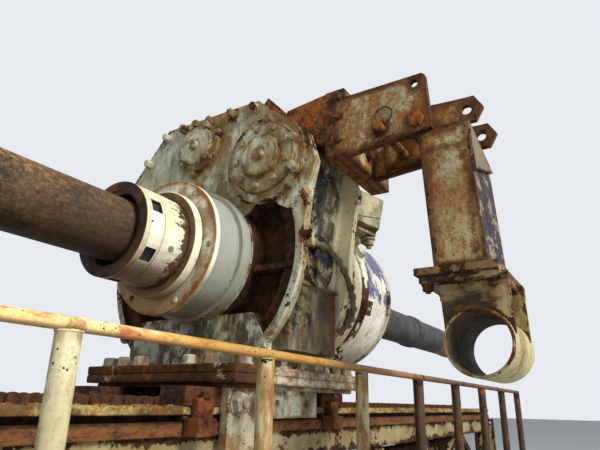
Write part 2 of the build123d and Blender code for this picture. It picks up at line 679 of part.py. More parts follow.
def chuck_jaws():
    """Jaws between the sleeve and the rod, which grip the rod."""
    x0 = SLEEVE_FRONT_X + JAW_FROM_FACE
    ring = rod_x(SPINDLE_BORE_R, x0, x0 + JAW_LENGTH) - rod_x(ROD_OD / 2, x0 - 1, x0 + JAW_LENGTH + 1)
    sector = Pos(x0 + JAW_LENGTH / 2, 0, SPINDLE_BORE_R) * Box(JAW_LENGTH, JAW_WIDTH, SPINDLE_BORE_R)
    turns = [Pos(0, 0, ROD_AXIS_Z) * Rot(360 / JAW_COUNT * (index + 0.5), 0,
                                         0) for index in range(JAW_COUNT)]
    return Compound(children=[ring & (turn * sector) for turn in turns])


def drill_rod():
    """Drill rod with a tool joint at each end and a coupling behind the head."""
    rear_x = ROD_FRONT_X + ROD_LENGTH
    coupling_x = DRUM_REAR_X + COUPLING_BEHIND_DRUM
    tube = rod_x(ROD_OD / 2, ROD_FRONT_X, rear_x)
    tube += rod_x(TOOL_JOINT_OD / 2, ROD_FRONT_X, ROD_FRONT_X + TOOL_JOINT_LENGTH)
    tube += rod_x(TOOL_JOINT_OD / 2, rear_x - TOOL_JOINT_LENGTH, rear_x)
    tube += rod_x(COUPLING_OD / 2, coupling_x, coupling_x + COUPLING_LENGTH)
    return tube - rod_x(ROD_OD / 2 - ROD_WALL, ROD_FRONT_X - 1, rear_x + 1)


def foot_plate(top):
    """One of the two bolted foot plates."""
    half = FOOT_WIDTH / 2
    return box(FOOT_FRONT_X, FOOT_FRONT_X + FOOT_LENGTH, -half, half, top - FOOT_THICK, top)


def underplate():
    """Thinner plate under the foot plates."""
    x0 = FOOT_FRONT_X + UNDERPLATE_FROM_FRONT
    x1 = FOOT_FRONT_X + FOOT_LENGTH - UNDERPLATE_FROM_FRONT
    half = UNDERPLATE_WIDTH / 2
    return box(x0, x1, -half, half, UNDERPLATE_LOW, UNDERPLATE_TOP)


def cheek(side):
    """Side plate of the carriage outside one rail, deeper at its front."""
    x0 = FOOT_FRONT_X + CHEEK_FROM_FRONT
    x1 = x0 + CHEEK_LENGTH
    y0 = side * CHEEK_INNER_Y
    y1 = side * (CHEEK_INNER_Y + CHEEK_THICK)
    plate = box(x0, x1, y0, y1, UNDERPLATE_LOW - CHEEK_DROP, UNDERPLATE_LOW)
    plate += box(x0, x0 + CHEEK_FRONT_LENGTH, y0, y1, UNDERPLATE_LOW - CHEEK_FRONT_DROP, UNDERPLATE_LOW)
    for x in (x1 - CHEEK_HOLE_FROM_REAR, x1 - CHEEK_HOLE_FROM_REAR - CHEEK_HOLE_PITCH):
        plate -= rod_y(CHEEK_HOLE_R, y0 - side, y1 + side, x, UNDERPLATE_LOW - CHEEK_HOLE_DROP)
    return plate


def shoes(side):
    """Guide shoes of one side: pad on the rail, outer blocks and keeper under its head."""
    inner = side * (RAIL_OUTER_Y - RAIL_WIDTH + RUN_GAP)
    out_y = side * CHEEK_INNER_Y
    web_out = side * (RAIL_OUTER_Y - RAIL_WEB_INSET + KEEPER_GAP)
    low = LEADER_TOP + SEAT_GAP
    pad_low = RAIL_TOP + SEAT_GAP
    pieces = []
    for x in (FOOT_FRONT_X + SHOE_FROM_FRONT, FOOT_FRONT_X + FOOT_LENGTH - SHOE_FROM_REAR):
        x1 = x + SHOE_BLOCK_LENGTH
        neck_x = x + SHOE_NECK_SETBACK
        pieces.append(box(x, x + SHOE_LENGTH, inner, out_y, pad_low, UNDERPLATE_LOW))
        pieces.append(box(neck_x, neck_x + SHOE_NECK_LENGTH, out_y, side * SHOE_NECK_OUTER_Y, low,
                          pad_low + SHOE_NECK_TOP))
        pieces.append(box(x, x1, out_y, side * SHOE_BLOCK_OUTER_Y, low, low + SHOE_BLOCK_HEIGHT))
        pieces.append(box(x, x1, web_out, out_y, LEADER_TOP + RAIL_FOOT + KEEPER_GAP,
                          RAIL_TOP - RAIL_HEAD - KEEPER_GAP))
    return joined(pieces)


def guide_rail(side):
    """Rail along one chord: flat foot, set-back web and a thinner head."""
    rear_x = LEADER_FRONT_X + LEADER_LENGTH
    y_out = side * RAIL_OUTER_Y
    y_in = side * (RAIL_OUTER_Y - RAIL_WIDTH)
    web_out = side * (RAIL_OUTER_Y - RAIL_WEB_INSET)
    web_in = side * (RAIL_OUTER_Y - RAIL_WEB_INSET - RAIL_WEB)
    head_low = RAIL_TOP - RAIL_HEAD
    shape = box(LEADER_FRONT_X, rear_x, y_in, y_out, LEADER_TOP, LEADER_TOP + RAIL_FOOT)
    shape += box(LEADER_FRONT_X, rear_x, web_in, web_out, LEADER_TOP + RAIL_FOOT, head_low)
    return shape + box(LEADER_FRONT_X, rear_x, y_in, y_out, head_low, RAIL_TOP)


def leader_side(side):
    """Chords, uprights and diagonals of one side of the leader."""
    y = side * CHORD_CENTRE_Y
    top_z = LEADER_TOP - CHORD / 2
    low_z = LEADER_LOW + CHORD / 2
    pieces = [Pos(0, y, z) * Box(LEADER_LENGTH, CHORD, CHORD) for z in (top_z, low_z)]
    clear = top_z - low_z - CHORD
    middle = (top_z + low_z) / 2
    for index in range(BAYS + 1):
        x = LEADER_FRONT_X + BAY * index
        x = min(max(x, LEADER_FRONT_X + BRACE / 2), -LEADER_FRONT_X - BRACE / 2)
        pieces.append(Pos(x, y, middle) * Box(BRACE, BRACE, clear))
    run = BAY - BRACE
    length = hypot(run, clear)
    angle = degrees(atan2(clear, run))
    for index in range(BAYS):
        x = LEADER_FRONT_X + BAY * (index + 0.5)
        slope = angle if index % 2 else -angle
        pieces.append(Pos(x, y, middle) * Rot(0, slope, 0) * Box(length, DIAGONAL, DIAGONAL))
    return joined(pieces)


def leader_ties():
    """Cross members between the two sides, top and bottom, at each bay line."""
    half = CHORD_CENTRE_Y - CHORD / 2
    pieces = []
    for index in range(BAYS + 1):
        x = LEADER_FRONT_X + BAY * index
        x = min(max(x, LEADER_FRONT_X + CHORD / 2), -LEADER_FRONT_X - CHORD / 2)
        for z in (LEADER_LOW + CHORD / 2, LEADER_TOP - CHORD / 2):
            pieces.append(box(x - CHORD / 2, x + CHORD / 2, -half, half, z - CHORD / 2, z + CHORD / 2))
    return Compound(children=pieces)


def chain_tray():
    """Flat tray between the rails under the upper run of the chain."""
    reach = SPROCKET_X - SPROCKET_R - TRAY_END_GAP
    half = TRAY_WIDTH / 2
    plate = box(-reach, reach, -half, half, TRAY_TOP - TRAY_THICK, TRAY_TOP)
    for side in (-1, 1):
        plate += box(-reach, reach, side * (half - TRAY_THICK), side * half, LEADER_TOP,
                     TRAY_TOP - TRAY_THICK)
    return plate


def loop_face(offset):
    """Closed chain line, widened or narrowed by offset, as a face in X and Z."""
    radius = SPROCKET_R + offset
    return Pos(0, SPROCKET_Z) * SlotCenterToCenter(2 * SPROCKET_X, 2 * radius)


def feed_chain():
    """Feed chain as one fixed loop: link bands, a core on the straight runs, rollers round the wheels."""
    face = loop_face(CHAIN_HEIGHT / 2) - loop_face(-CHAIN_HEIGHT / 2)
    low = CHAIN_INNER_WIDTH / 2
    pieces = [along_y(face, low, low + CHAIN_PLATE), along_y(face, -low - CHAIN_PLATE, -low)]
    reach = SPROCKET_X - 2 * CHAIN_PITCH
    for z in (CHAIN_TOP_LINE, CHAIN_TOP_LINE - 2 * SPROCKET_R):
        pieces.append(box(-reach, reach, -low, low, z - CHAIN_CORE / 2, z + CHAIN_CORE / 2))
    roller = along_y(RegularPolygon(CHAIN_ROLLER_R, 6), -low, low)
    step = 360 / SPROCKET_TEETH
    turns = SPROCKET_TEETH // 4
    for side in (-1, 1):
        for index in range(-turns, turns):
            turn = radians((index + 0.5) * step)
            x = side * (SPROCKET_X + SPROCKET_R * cos(turn))
            pieces.append(Pos(x, 0, SPROCKET_Z + SPROCKET_R * sin(turn)) * roller)
    return joined(pieces)


def sprocket(side):
    """Toothed chain wheel on its shaft."""
    x = side * SPROCKET_X
    root_r = SPROCKET_R - CHAIN_ROLLER_R - SEAT_GAP
    tip_r = SPROCKET_R + TOOTH_TIP
    base_r = root_r - TOOTH_TIP
    teeth = [Circle(root_r)]
    for index in range(SPROCKET_TEETH):
        turn = Rot(0, 0, 360 / SPROCKET_TEETH * index + (180 if side < 0 else 0))
        teeth.append(turn * outline([(base_r, -TOOTH_ROOT_WIDTH / 2), (root_r, -TOOTH_ROOT_WIDTH / 2 + 1),
                                     (tip_r, -TOOTH_TIP_WIDTH / 2), (tip_r, TOOTH_TIP_WIDTH / 2),
                                     (root_r, TOOTH_ROOT_WIDTH / 2 - 1), (base_r, TOOTH_ROOT_WIDTH / 2)]))
    wheel = along_y(Pos(x, SPROCKET_Z) * joined(teeth), -SPROCKET_THICK / 2, SPROCKET_THICK / 2)
    half = CHORD_CENTRE_Y - CHORD / 2
    hub = SPROCKET_HUB_WIDTH / 2
    return joined([wheel, rod_y(SPROCKET_HUB_R, -hub, hub, x, SPROCKET_Z),
                   rod_y(SPROCKET_SHAFT_R, -half, half, x, SPROCKET_Z)])


def end_frame(side):
    """Bolted splice flange round one end of the leader, with its four corner bolt holes."""
    x0 = side * LEADER_LENGTH / 2
    x1 = x0 + side * END_FLANGE
    half = CHORD_CENTRE_Y + CHORD / 2 + END_FLANGE_MARGIN
    inner = CHORD_CENTRE_Y - CHORD / 2 - BRACE / 3
    border = CHORD + BRACE / 3
    shape = box(x0, x1, -half, half, LEADER_LOW, LEADER_TOP)
    shape -= box(x0 - side, x1 + side, -inner, inner, LEADER_LOW + border, LEADER_TOP - border)
    for y in (-SPLICE_BOLT_Y, SPLICE_BOLT_Y):
        for z in (LEADER_LOW + SPLICE_BOLT_EDGE, LEADER_TOP - SPLICE_BOLT_EDGE):
            shape -= rod_x(SPLICE_HOLE_R, min(x0, x1) - 1, max(x0, x1) + 1, y, z)
    return shape


def skid_beam(x):
    """Wide-flange beam across the floor under the leader."""
    half = BEAM_WIDTH / 2
    upper = BEAM_HEIGHT - BEAM_FLANGE
    shape = box(x - half, x + half, BEAM_RIGHT, BEAM_LEFT, 0, BEAM_FLANGE)
    shape += box(x - half, x + half, BEAM_RIGHT, BEAM_LEFT, upper, BEAM_HEIGHT)
    return shape + box(x - BEAM_WEB / 2, x + BEAM_WEB / 2, BEAM_RIGHT, BEAM_LEFT, BEAM_FLANGE, upper)


def walkway():
    """Plate beside the leader that carries the handrail posts."""
    half = LEADER_LENGTH / 2
    edge = BEAM_WIDTH / 2
    plate = box(-half, half, WALKWAY_OUTER_Y, WALKWAY_INNER_Y, BEAM_HEIGHT, BEAM_HEIGHT + WALKWAY_THICK)
    low = BEAM_HEIGHT - WALKWAY_ANGLE_DROP
    for y in (WALKWAY_OUTER_Y, WALKWAY_INNER_Y - WALKWAY_ANGLE):
        for x0, x1 in ((-half, -BEAM_SPACING - edge), (-BEAM_SPACING + edge, -edge),
                       (edge, BEAM_SPACING - edge), (BEAM_SPACING + edge, half)):
            plate += box(x0, x1, y, y + WALKWAY_ANGLE, low, BEAM_HEIGHT)
    return plate


def handrail_posts():
    """Row of round posts on base plates."""
    low = BEAM_HEIGHT + WALKWAY_THICK
    top = low + HANDRAIL_ABOVE_WALKWAY
    half = POST_BASE / 2
    pieces = []
    for index in range(POST_COUNT):
        x = POST_FIRST_X + POST_PITCH * index
        post = rod_z(POST_OD / 2, low + POST_BASE_THICK, top - TUBE_OD / 2, x, RAIL_LINE_Y)
        base = box(x - half, x + half, RAIL_LINE_Y - half, RAIL_LINE_Y + half, low, low + POST_BASE_THICK)
        pieces.append(post + base)
    return Compound(children=pieces)


def handrail_tube():
    """Top rail through all the posts."""
    x0 = POST_FIRST_X - TUBE_FRONT_OVERHANG
    x1 = POST_FIRST_X + POST_PITCH * (POST_COUNT - 1) + TUBE_REAR_OVERHANG
    return rod_x(TUBE_OD / 2, x0, x1, RAIL_LINE_Y, BEAM_HEIGHT + WALKWAY_THICK + HANDRAIL_ABOVE_WALKWAY)


def arm_bracket():
    """Base plate on the housing's right shoulder and two plates out to the joint flange."""
    y_out = JOINT_FACE_Y + JOINT_PLATE
    chamfer = outline(about_rod([(BRACKET_INNER_Y, BRACKET_TOP_ABOVE_ROD - BRACKET_PLATE),
                                 (y_out, BRACKET_TOP_ABOVE_ROD),
                                 (y_out, BRACKET_LOW_ABOVE_ROD),
                                 (RIGHT_SHOULDER_Y, BRACKET_LOW_ABOVE_ROD),
                                 (-HOUSING_TOP_WIDTH / 2, RIGHT_SHOULDER_ABOVE_ROD)]))
    x0 = ARM_FRONT_X
    x1 = x0 + JOINT_LENGTH
    shape = across(chamfer, x0, x0 + BRACKET_PLATE) + across(chamfer, x1 - 2 * BRACKET_PLATE,
                                                             x1 - BRACKET_PLATE)
    shape += box(x0, x1, y_out, JOINT_FACE_Y, ROD_AXIS_Z + JOINT_LOW_ABOVE_ROD,
                 ROD_AXIS_Z + JOINT_TOP_ABOVE_ROD)
    shape += bracket_base(x0 - BRACKET_PLATE)
    return shape - across(housing_face(), HOUSING_FRONT_X - 1, HOUSING_REAR_X + 1) - drive_motor()


def bracket_base(x0):
    """Plate lying on the sloping shoulder, with an upturned lip at its upper edge."""
    y0, z0 = -HOUSING_TOP_WIDTH / 2, HOUSING_TOP_ABOVE_ROD
    y1, z1 = RIGHT_SHOULDER_Y, RIGHT_SHOULDER_ABOVE_ROD
    run = hypot(y1 - y0, z1 - z0)
    ny, nz = (z1 - z0) / run, (y0 - y1) / run
    thick = BRACKET_BASE_THICK
    lip = BRACKET_LIP
    top = [(y0, z0), (y1, z1), (y1 + ny * thick, z1 + nz * thick), (y0 + ny * thick, z0 + nz * thick)]
    plate = across(outline(about_rod(top)), x0, x0 + BRACKET_BASE_LENGTH)
    edge = [(y0, z0), (y0 + ny * lip, z0 + nz * lip),
            (y0 + ny * lip - nz * thick, z0 + nz * lip + ny * thick), (y0 - nz * thick, z0 + ny * thick)]
    return plate + across(outline(about_rod(edge)), x0, x0 + BRACKET_BASE_LENGTH)


def clevis():
    """Bolted flange with two plates between which the arm is pinned."""
    x0 = ARM_FRONT_X
    x1 = x0 + JOINT_LENGTH
    y1 = JOINT_FACE_Y - CLEVIS_FLANGE
    shape = box(x0, x1, y1, JOINT_FACE_Y, ROD_AXIS_Z + JOINT_LOW_ABOVE_ROD,
                ROD_AXIS_Z + JOINT_TOP_ABOVE_ROD)
    cut = CLEVIS_CUT
    plate = outline(about_rod([(y1, CLEVIS_TOP_ABOVE_ROD), (y1, CLEVIS_NEAR_LOW_ABOVE_ROD),
                               (CLEVIS_REACH_Y, CLEVIS_FAR_LOW_ABOVE_ROD),
                               (CLEVIS_REACH_Y + cut, CLEVIS_TOP_ABOVE_ROD - cut),
                               (CLEVIS_REACH_Y + 2 * cut, CLEVIS_TOP_ABOVE_ROD)]))
    for x in (x0, ARM_NEAR_X + ARM_DEPTH + ARM_SIDE_GAP):
        shape += across(plate, x, x + CLEVIS_PLATE)
    for (y, z), radius in ((LOCK_PIN, LOCK_PIN_R), (HINGE_BOLT, HINGE_BOLT_R)):
        shape -= rod_x(radius + PIN_CLEARANCE, x0 - 1, x1 + 1, y, z)
    return shape - rod_x(CLEVIS_EYE_R, x0 - 1, x1 + 1, CLEVIS_EYE_Y, CLEVIS_EYE_ABOVE_ROD + ROD_AXIS_Z)


def arm_plates():
    """Two arm plates between the clevis plates, joined by a web."""
    x0 = ARM_NEAR_X
    x1 = x0 + ARM_DEPTH
    y, z = ARM_HOLE_Y, ARM_HOLE_ABOVE_ROD
    top = POST_TOP_ABOVE_ROD
    crown = z + ARM_END_R * cos(radians(30))
    face = outline(about_rod([(ARM_ROOT_Y, top), (ARM_ROOT_Y, ARM_ROOT_TOP_ABOVE_ROD), (y, crown),
                              (y - ARM_END_R / 2, crown),
                              (y - ARM_END_R, z), (y - ARM_END_R / 2, top)]))
    web_y = ARM_WEB_Y - ARM_WEB_LENGTH
    tail = outline(about_rod([(web_y, top), (web_y, POST_SHOULDER_ABOVE_ROD),
                              (ARM_TAIL_FAR_Y, POST_SHOULDER_ABOVE_ROD),
                              (ARM_TAIL_FAR_Y, top)]))
    web_z = ROD_AXIS_Z + top
    shape = across(face, x0, x0 + ARM_PLATE) + across(face, x1 - ARM_PLATE, x1)
    shape += across(tail, x1 - ARM_PLATE, x1)
    shape += box(x0, x1, web_y, ARM_WEB_Y, web_z, web_z + ARM_PLATE)
    for (pin_y, pin_z), radius in ((LOCK_PIN, LOCK_PIN_R), (HINGE_BOLT, HINGE_BOLT_R)):
        shape -= rod_x(radius + PIN_CLEARANCE, x0 - 1, x1 + 1, pin_y, pin_z)
    return shape - rod_x(ARM_HOLE_R, x0 - 1, x1 + 1, y, z + ROD_AXIS_Z)


def arm_pins():
    """Hinge bolt and lock pin through clevis and arm."""
    x0 = ARM_FRONT_X
    x1 = ARM_NEAR_X + ARM_DEPTH + ARM_SIDE_GAP + CLEVIS_PLATE + PIN_REAR_REACH
    lock = rod_x(LOCK_PIN_R, x0 - PIN_FRONT_REACH, x1, *LOCK_PIN)
    head = across(Pos(*HINGE_BOLT) * RegularPolygon(HINGE_HEAD_R, 6), x0 - HINGE_HEAD_THICK, x0)
    return Compound(children=[lock, rod_x(HINGE_BOLT_R, x0 - HINGE_HEAD_THICK, x1, *HINGE_BOLT) + head])


def arm_post():
    """Hollow box post under the arm plates, leaning a little, its top cut on the slope behind a gusset."""
    x0 = ARM_NEAR_X - POST_WALL
    x1 = x0 + POST_DEPTH
    foot = ROD_AXIS_Z - POST_FOOT_BELOW_ROD
    shoulder = ROD_AXIS_Z + POST_SHOULDER_ABOVE_ROD
    top = ROD_AXIS_Z + POST_TOP_ABOVE_ROD
    wall = POST_WALL
    side = outline([(x0, foot), (x0, top), (x0 + ARM_PLATE, top), (x1, shoulder), (x1, foot)])
    shape = along_y(side, 2 * POST_FAR_Y, 0) & across(post_face(0, 0), x0, x1)
    hollow = outline([(x0 + wall, foot - 1), (x0 + wall, shoulder - wall),
                      (x1 - wall, shoulder - wall), (x1 - wall, foot - 1)])
    shape -= along_y(hollow, 2 * POST_FAR_Y, 0) & across(post_face(wall, 2), x0, x1)
    gusset = outline([(x0, ROD_AXIS_Z + GUSSET_LOW_ABOVE_ROD), (x0, top), (x0 + ARM_PLATE, top),
                      (x1 + GUSSET_OVERHANG, shoulder)])
    far_x = x1 + GUSSET_OVERHANG
    rim = across(post_face(-GUSSET_THICK, 0), x0, far_x) - across(post_face(0, 0), x0, far_x)
    middle_y = (POST_NEAR_Y + POST_FAR_Y) / 2
    shape += along_y(gusset, 2 * POST_FAR_Y, middle_y) & rim
    return joined_one(shape - arm_plates() - clevis())


def joined_one(shape):
    """The largest solid of a cut, without slivers."""
    return max(shape.solids(), key=lambda solid: solid.volume)


def post_face(inset, below):
    """The leaning post's outline in Y and Z, drawn in by inset and lengthened below."""
    foot = -POST_FOOT_BELOW_ROD - below
    top = POST_TOP_ABOVE_ROD
    return outline(about_rod([(POST_NEAR_Y - inset, foot), (POST_FAR_Y + inset, foot),
                              (POST_FAR_Y + POST_LEAN + inset, top),
                              (POST_NEAR_Y + POST_LEAN - inset, top)]))


def ring_bracket():
    """Two-layer flange under the post with two saddle plates down to the pipe ring."""
    x0 = ARM_NEAR_X - POST_WALL
    top = ROD_AXIS_Z - POST_FOOT_BELOW_ROD
    shape = box(x0, x0 + RING_FLANGE_LENGTH, RING_FLANGE_FAR_Y, RING_FLANGE_NEAR_Y,
                top - RING_FLANGE_THICK, top)
    inner = RING_FLANGE_THICK / 2
    shape += box(x0 + inner, x0 + RING_FLANGE_LENGTH, RING_FLANGE_FAR_Y, RING_FLANGE_NEAR_Y - inner,
                 top - 2 * RING_FLANGE_THICK, top - RING_FLANGE_THICK)
    y, z = RING_AXIS
    half = RING_R + SADDLE_TOP_EXTRA
    low = z + SADDLE_ABOVE_AXIS
    face = outline([(y - RING_R, low), (y + RING_R, low), (y + half, top - RING_FLANGE_THICK),
                    (y - half + SADDLE_PLATE, top - RING_FLANGE_THICK)])
    face -= Pos(y, z) * Circle(RING_R)
    near = ARM_NEAR_X + SADDLE_FROM_RING_END
    for x in (near, ARM_NEAR_X + RING_LENGTH - SADDLE_FROM_RING_END - SADDLE_PLATE):
        shape += across(face, x, x + SADDLE_PLATE)
    return shape


def pipe_ring():
    """Open pipe ring that guides the grout line."""
    x0 = ARM_NEAR_X
    ring = rod_x(RING_R, x0, x0 + RING_LENGTH, *RING_AXIS)
    return ring - rod_x(RING_R - RING_WALL, x0 - 1, x0 + RING_LENGTH + 1, *RING_AXIS)


SIDED = (("right", -1), ("left", 1))


def head_nodes():
    """Pieces of the head, by name."""
    nodes = {"front_housing": front_housing(), "rear_housing": rear_housing(), "front_boss": front_boss(),
             "big_pinion_cover": big_pinion_cover(), "small_pinion_cover": small_pinion_cover(),
             "drive_motor": drive_motor(), "rear_neck": rear_neck(), "swivel_drum": swivel_drum(),
             "drum_clamp": drum_clamp(), "lube_pump": lube_pump(), "lube_box": lube_box(),
             "lube_pipe": lube_pipe(), "port_block": port_block(), "head_foot_plate": foot_plate(FOOT_TOP),
             "carriage_plate": foot_plate(LOWER_FOOT_TOP), "carriage_underplate": underplate()}
    for name, side in SIDED:
        nodes[f"carriage_cheek_{name}"] = cheek(side)
        nodes[f"guide_shoes_{name}"] = shoes(side)
    return nodes


def spindle_nodes():
    """Pieces that turn with the rod, by name."""
    return {"chuck_sleeve": chuck_sleeve(), "chuck_collar": chuck_collar(),
            "spindle_tube": spindle_tube(),
            "chuck_jaws": chuck_jaws(), "drill_rod": drill_rod()}


def arm_nodes():
    """Pieces of the side arm, by name."""
    return {"arm_bracket": arm_bracket(), "arm_clevis": clevis(), "arm_plates": arm_plates(),
            "arm_pins": arm_pins(),
            "arm_post": arm_post(), "ring_bracket": ring_bracket(), "pipe_ring": pipe_ring()}


def leader_nodes():
    """Fixed pieces: leader, rails, chain, beams, walkway and handrail, by name."""
    nodes = {"leader_ties": leader_ties(), "leader_end_front": end_frame(-1),
             "leader_end_rear": end_frame(1),
             "chain_tray": chain_tray(), "feed_chain": feed_chain(), "sprocket_front": sprocket(-1),
             "sprocket_rear": sprocket(1), "walkway": walkway(), "handrail_posts": handrail_posts(),
             "handrail_tube": handrail_tube()}
    for name, side in SIDED:
        nodes[f"guide_rail_{name}"] = guide_rail(side)
        nodes[f"leader_side_{name}"] = leader_side(side)
    for name, x in (("front", -BEAM_SPACING), ("middle", 0.0), ("rear", BEAM_SPACING)):
        nodes[f"skid_beam_{name}"] = skid_beam(x)
    return nodes


def main():
    """Build every piece and write it out."""
    os.makedirs("parts", exist_ok=True)
    for group in (head_nodes(), spindle_nodes(), arm_nodes(), leader_nodes()):
        for name, shape in group.items():
            save(shape, name)


main()
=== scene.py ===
"""Looks of the rotary drilling head: rounded, painted and rusted skins, fasteners, chain, welds, stage and camera."""

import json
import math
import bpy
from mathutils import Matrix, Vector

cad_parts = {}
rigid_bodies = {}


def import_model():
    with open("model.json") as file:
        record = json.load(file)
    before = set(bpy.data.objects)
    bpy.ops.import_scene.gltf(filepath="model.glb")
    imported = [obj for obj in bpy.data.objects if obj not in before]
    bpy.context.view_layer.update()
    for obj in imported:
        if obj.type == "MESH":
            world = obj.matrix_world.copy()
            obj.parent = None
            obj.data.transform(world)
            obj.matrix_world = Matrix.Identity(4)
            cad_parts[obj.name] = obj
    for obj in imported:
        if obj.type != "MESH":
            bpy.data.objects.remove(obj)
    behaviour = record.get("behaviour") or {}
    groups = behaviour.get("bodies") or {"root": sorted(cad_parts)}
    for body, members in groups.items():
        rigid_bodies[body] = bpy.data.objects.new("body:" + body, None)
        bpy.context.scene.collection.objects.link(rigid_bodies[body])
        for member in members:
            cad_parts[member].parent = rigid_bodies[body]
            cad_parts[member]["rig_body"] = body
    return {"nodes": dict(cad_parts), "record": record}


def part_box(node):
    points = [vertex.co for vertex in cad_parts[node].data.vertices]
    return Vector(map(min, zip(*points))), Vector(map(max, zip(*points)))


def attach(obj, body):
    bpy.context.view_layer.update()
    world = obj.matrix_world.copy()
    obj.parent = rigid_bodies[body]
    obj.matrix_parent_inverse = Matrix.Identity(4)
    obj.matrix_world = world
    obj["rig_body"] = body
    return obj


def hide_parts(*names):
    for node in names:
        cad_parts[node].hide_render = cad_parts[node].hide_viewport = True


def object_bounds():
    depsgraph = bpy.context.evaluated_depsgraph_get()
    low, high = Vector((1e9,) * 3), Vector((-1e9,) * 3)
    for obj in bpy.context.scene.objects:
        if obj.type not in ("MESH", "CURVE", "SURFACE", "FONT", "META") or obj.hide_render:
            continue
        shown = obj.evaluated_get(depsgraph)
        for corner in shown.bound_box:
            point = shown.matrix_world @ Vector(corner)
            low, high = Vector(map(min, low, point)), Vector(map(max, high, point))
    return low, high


bl_info = {
    "name": "Rotary drilling head",
    "version": (1, 0, 0),
    "blender": (4, 5, 0),
    "location": "View3D > Sidebar > Drilling Head",
    "description": "Dresses a rotary drilling head on its leader with weathered finishes and small hardware",
    "category": "Object",
}

from functools import cache

import bmesh
import bpy
from bpy.props import FloatProperty, FloatVectorProperty, IntProperty, PointerProperty
from mathutils import Matrix, Vector
from mathutils.bvhtree import BVHTree
from mathutils.kdtree import KDTree

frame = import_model()
CAD_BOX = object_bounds()

ROD_Z = sum(corner.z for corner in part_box("drill_rod")) / 2
FACE_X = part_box("front_boss")[1].x
BACK_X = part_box("rear_housing")[1].x
SLEEVE_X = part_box("chuck_sleeve")[0].x
COLLAR_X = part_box("chuck_collar")[0].x
RING_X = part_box("front_boss")[0].x
DRUM_BACK_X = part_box("swivel_drum")[1].x
FOOT_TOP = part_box("head_foot_plate")[1].z
RAIL_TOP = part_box("guide_rail_right")[1].z

# Axes along X, as y and z
ROD_AXIS = (0.0, ROD_Z)
BIG_COVER = (-0.316, ROD_Z + 0.362)
SMALL_COVER = (0.048, ROD_Z + 0.507)
PIPE_RING = (-1.042, 1.225)

# The handrail: its line, the first post, the way to the next and the number of posts
HANDRAIL_Y, FIRST_POST_X, POST_PITCH, POSTS = -0.54, -2.066, 0.624, 8

# Bolts on the housing's face, y and z from the rod's axis
PERIMETER = ((0.356, 0.500), (0.258, 0.612), (0.150, 0.627), (0.073, 0.628), (-0.004, 0.628), (-0.123, 0.628),
             (-0.244, 0.622), (-0.342, 0.521), (-0.459, 0.409), (-0.457, 0.292))
EDGE = ((0.462, 0.36), (0.500, 0.27), (-0.498, 0.18))
AROUND_SMALL = ((0.125, 0.439), (0.066, 0.386), (-0.025, 0.437), (-0.061, 0.550), (-0.009, 0.594), (0.080, 0.541))

# The lubrication pipe: millimetres along, out and up from the corner of the housing's waist
PIPE = ((38, 24, 26), (130, 12, 34), (260, 10, 30), (352, -8, -62), (440, 10, -150), (432, 22, -226), (402, 66, -272))
PIPE_Y = -0.484

AHEAD, BACK = (1.0, 0.0, 0.0), (-1.0, 0.0, 0.0)
UP, DOWN = (0.0, 0.0, 1.0), (0.0, 0.0, -1.0)

HEX = 1 / math.sqrt(3)  # corner radius of a hexagon for a width across flats of 1
FAR = 0.3  # an edge farther than this leaves no wear
SHARP = math.radians(28)  # edges above this angle are rounded and worn
SHEEN = 0.26  # specular level of every surface

SCALE_DARK, RUST_BROWN, RUST_RED, RUST_ORANGE = "211710", "472c18", "673a1e", "965216"
OCHRE, STAIN, GRIME = "8a6c3c", "7d5026", "3f352a"


def ink(code):
    """Linear colour of a six-digit sRGB code."""
    parts = [int(code[i : i + 2], 16) / 255 for i in (0, 2, 4)]
    return tuple(p / 12.92 if p <= 0.04045 else ((p + 0.055) / 1.055) ** 2.4 for p in parts)


def darker(colour, amount):
    return tuple(c * amount for c in colour)


def settings():
    return bpy.context.scene.drill_sizes


def shade(name):
    """A colour of the panel by its name, or else that of a code."""
    return getattr(bpy.context.scene.drill_colours, name, None) or ink(name)


# Nodes


class Wire:
    """A socket of a tree; arithmetic on it adds Math nodes, and layers go over it as over a colour."""

    def __init__(self, nodes, socket):
        self.nodes, self.socket = nodes, socket

    def math(self, operation, *values):
        return self.nodes.add("ShaderNodeMath", dict(enumerate(values)), operation=operation)

    def __add__(self, other):
        return self.math("ADD", self, other)

    __radd__ = __add__

    def __sub__(self, other):
        return self.math("SUBTRACT", self, other)

    def __rsub__(self, other):
        return self.math("SUBTRACT", other, self)

    def __mul__(self, other):
        return self.math("MULTIPLY", self, other)

    __rmul__ = __mul__

    def __pow__(self, other):
        return self.math("POWER", self, other)

    def __abs__(self):
        return self.math("ABSOLUTE", self)

    def most(self, other):
        return self.math("MAXIMUM", self, other)

    def least(self, other):
        return self.math("MINIMUM", self, other)

    def swing(self, amount):
        """A noise about zero, by an amount."""
        return (self - 0.5) * amount

    def rise(self, low, high):
        """0 below low, 1 above high, smooth between; falls where low is above high."""
        limits = {0: self, 1: low, 2: high, 3: 0.0, 4: 1.0}
        return self.nodes.add("ShaderNodeMapRange", limits, interpolation_type="SMOOTHSTEP")

    def band(self, low, high, soft):
        """1 between low and high, with soft edges."""
        return self.rise(low - soft, low + soft) * self.rise(high + soft, high - soft)

    def laid(self, *layers):
        """This colour with layers over it, each an amount and a colour."""
        colour = self
        for amount, over in layers:
            colour = self.nodes.mix(amount, colour, over)
        return colour


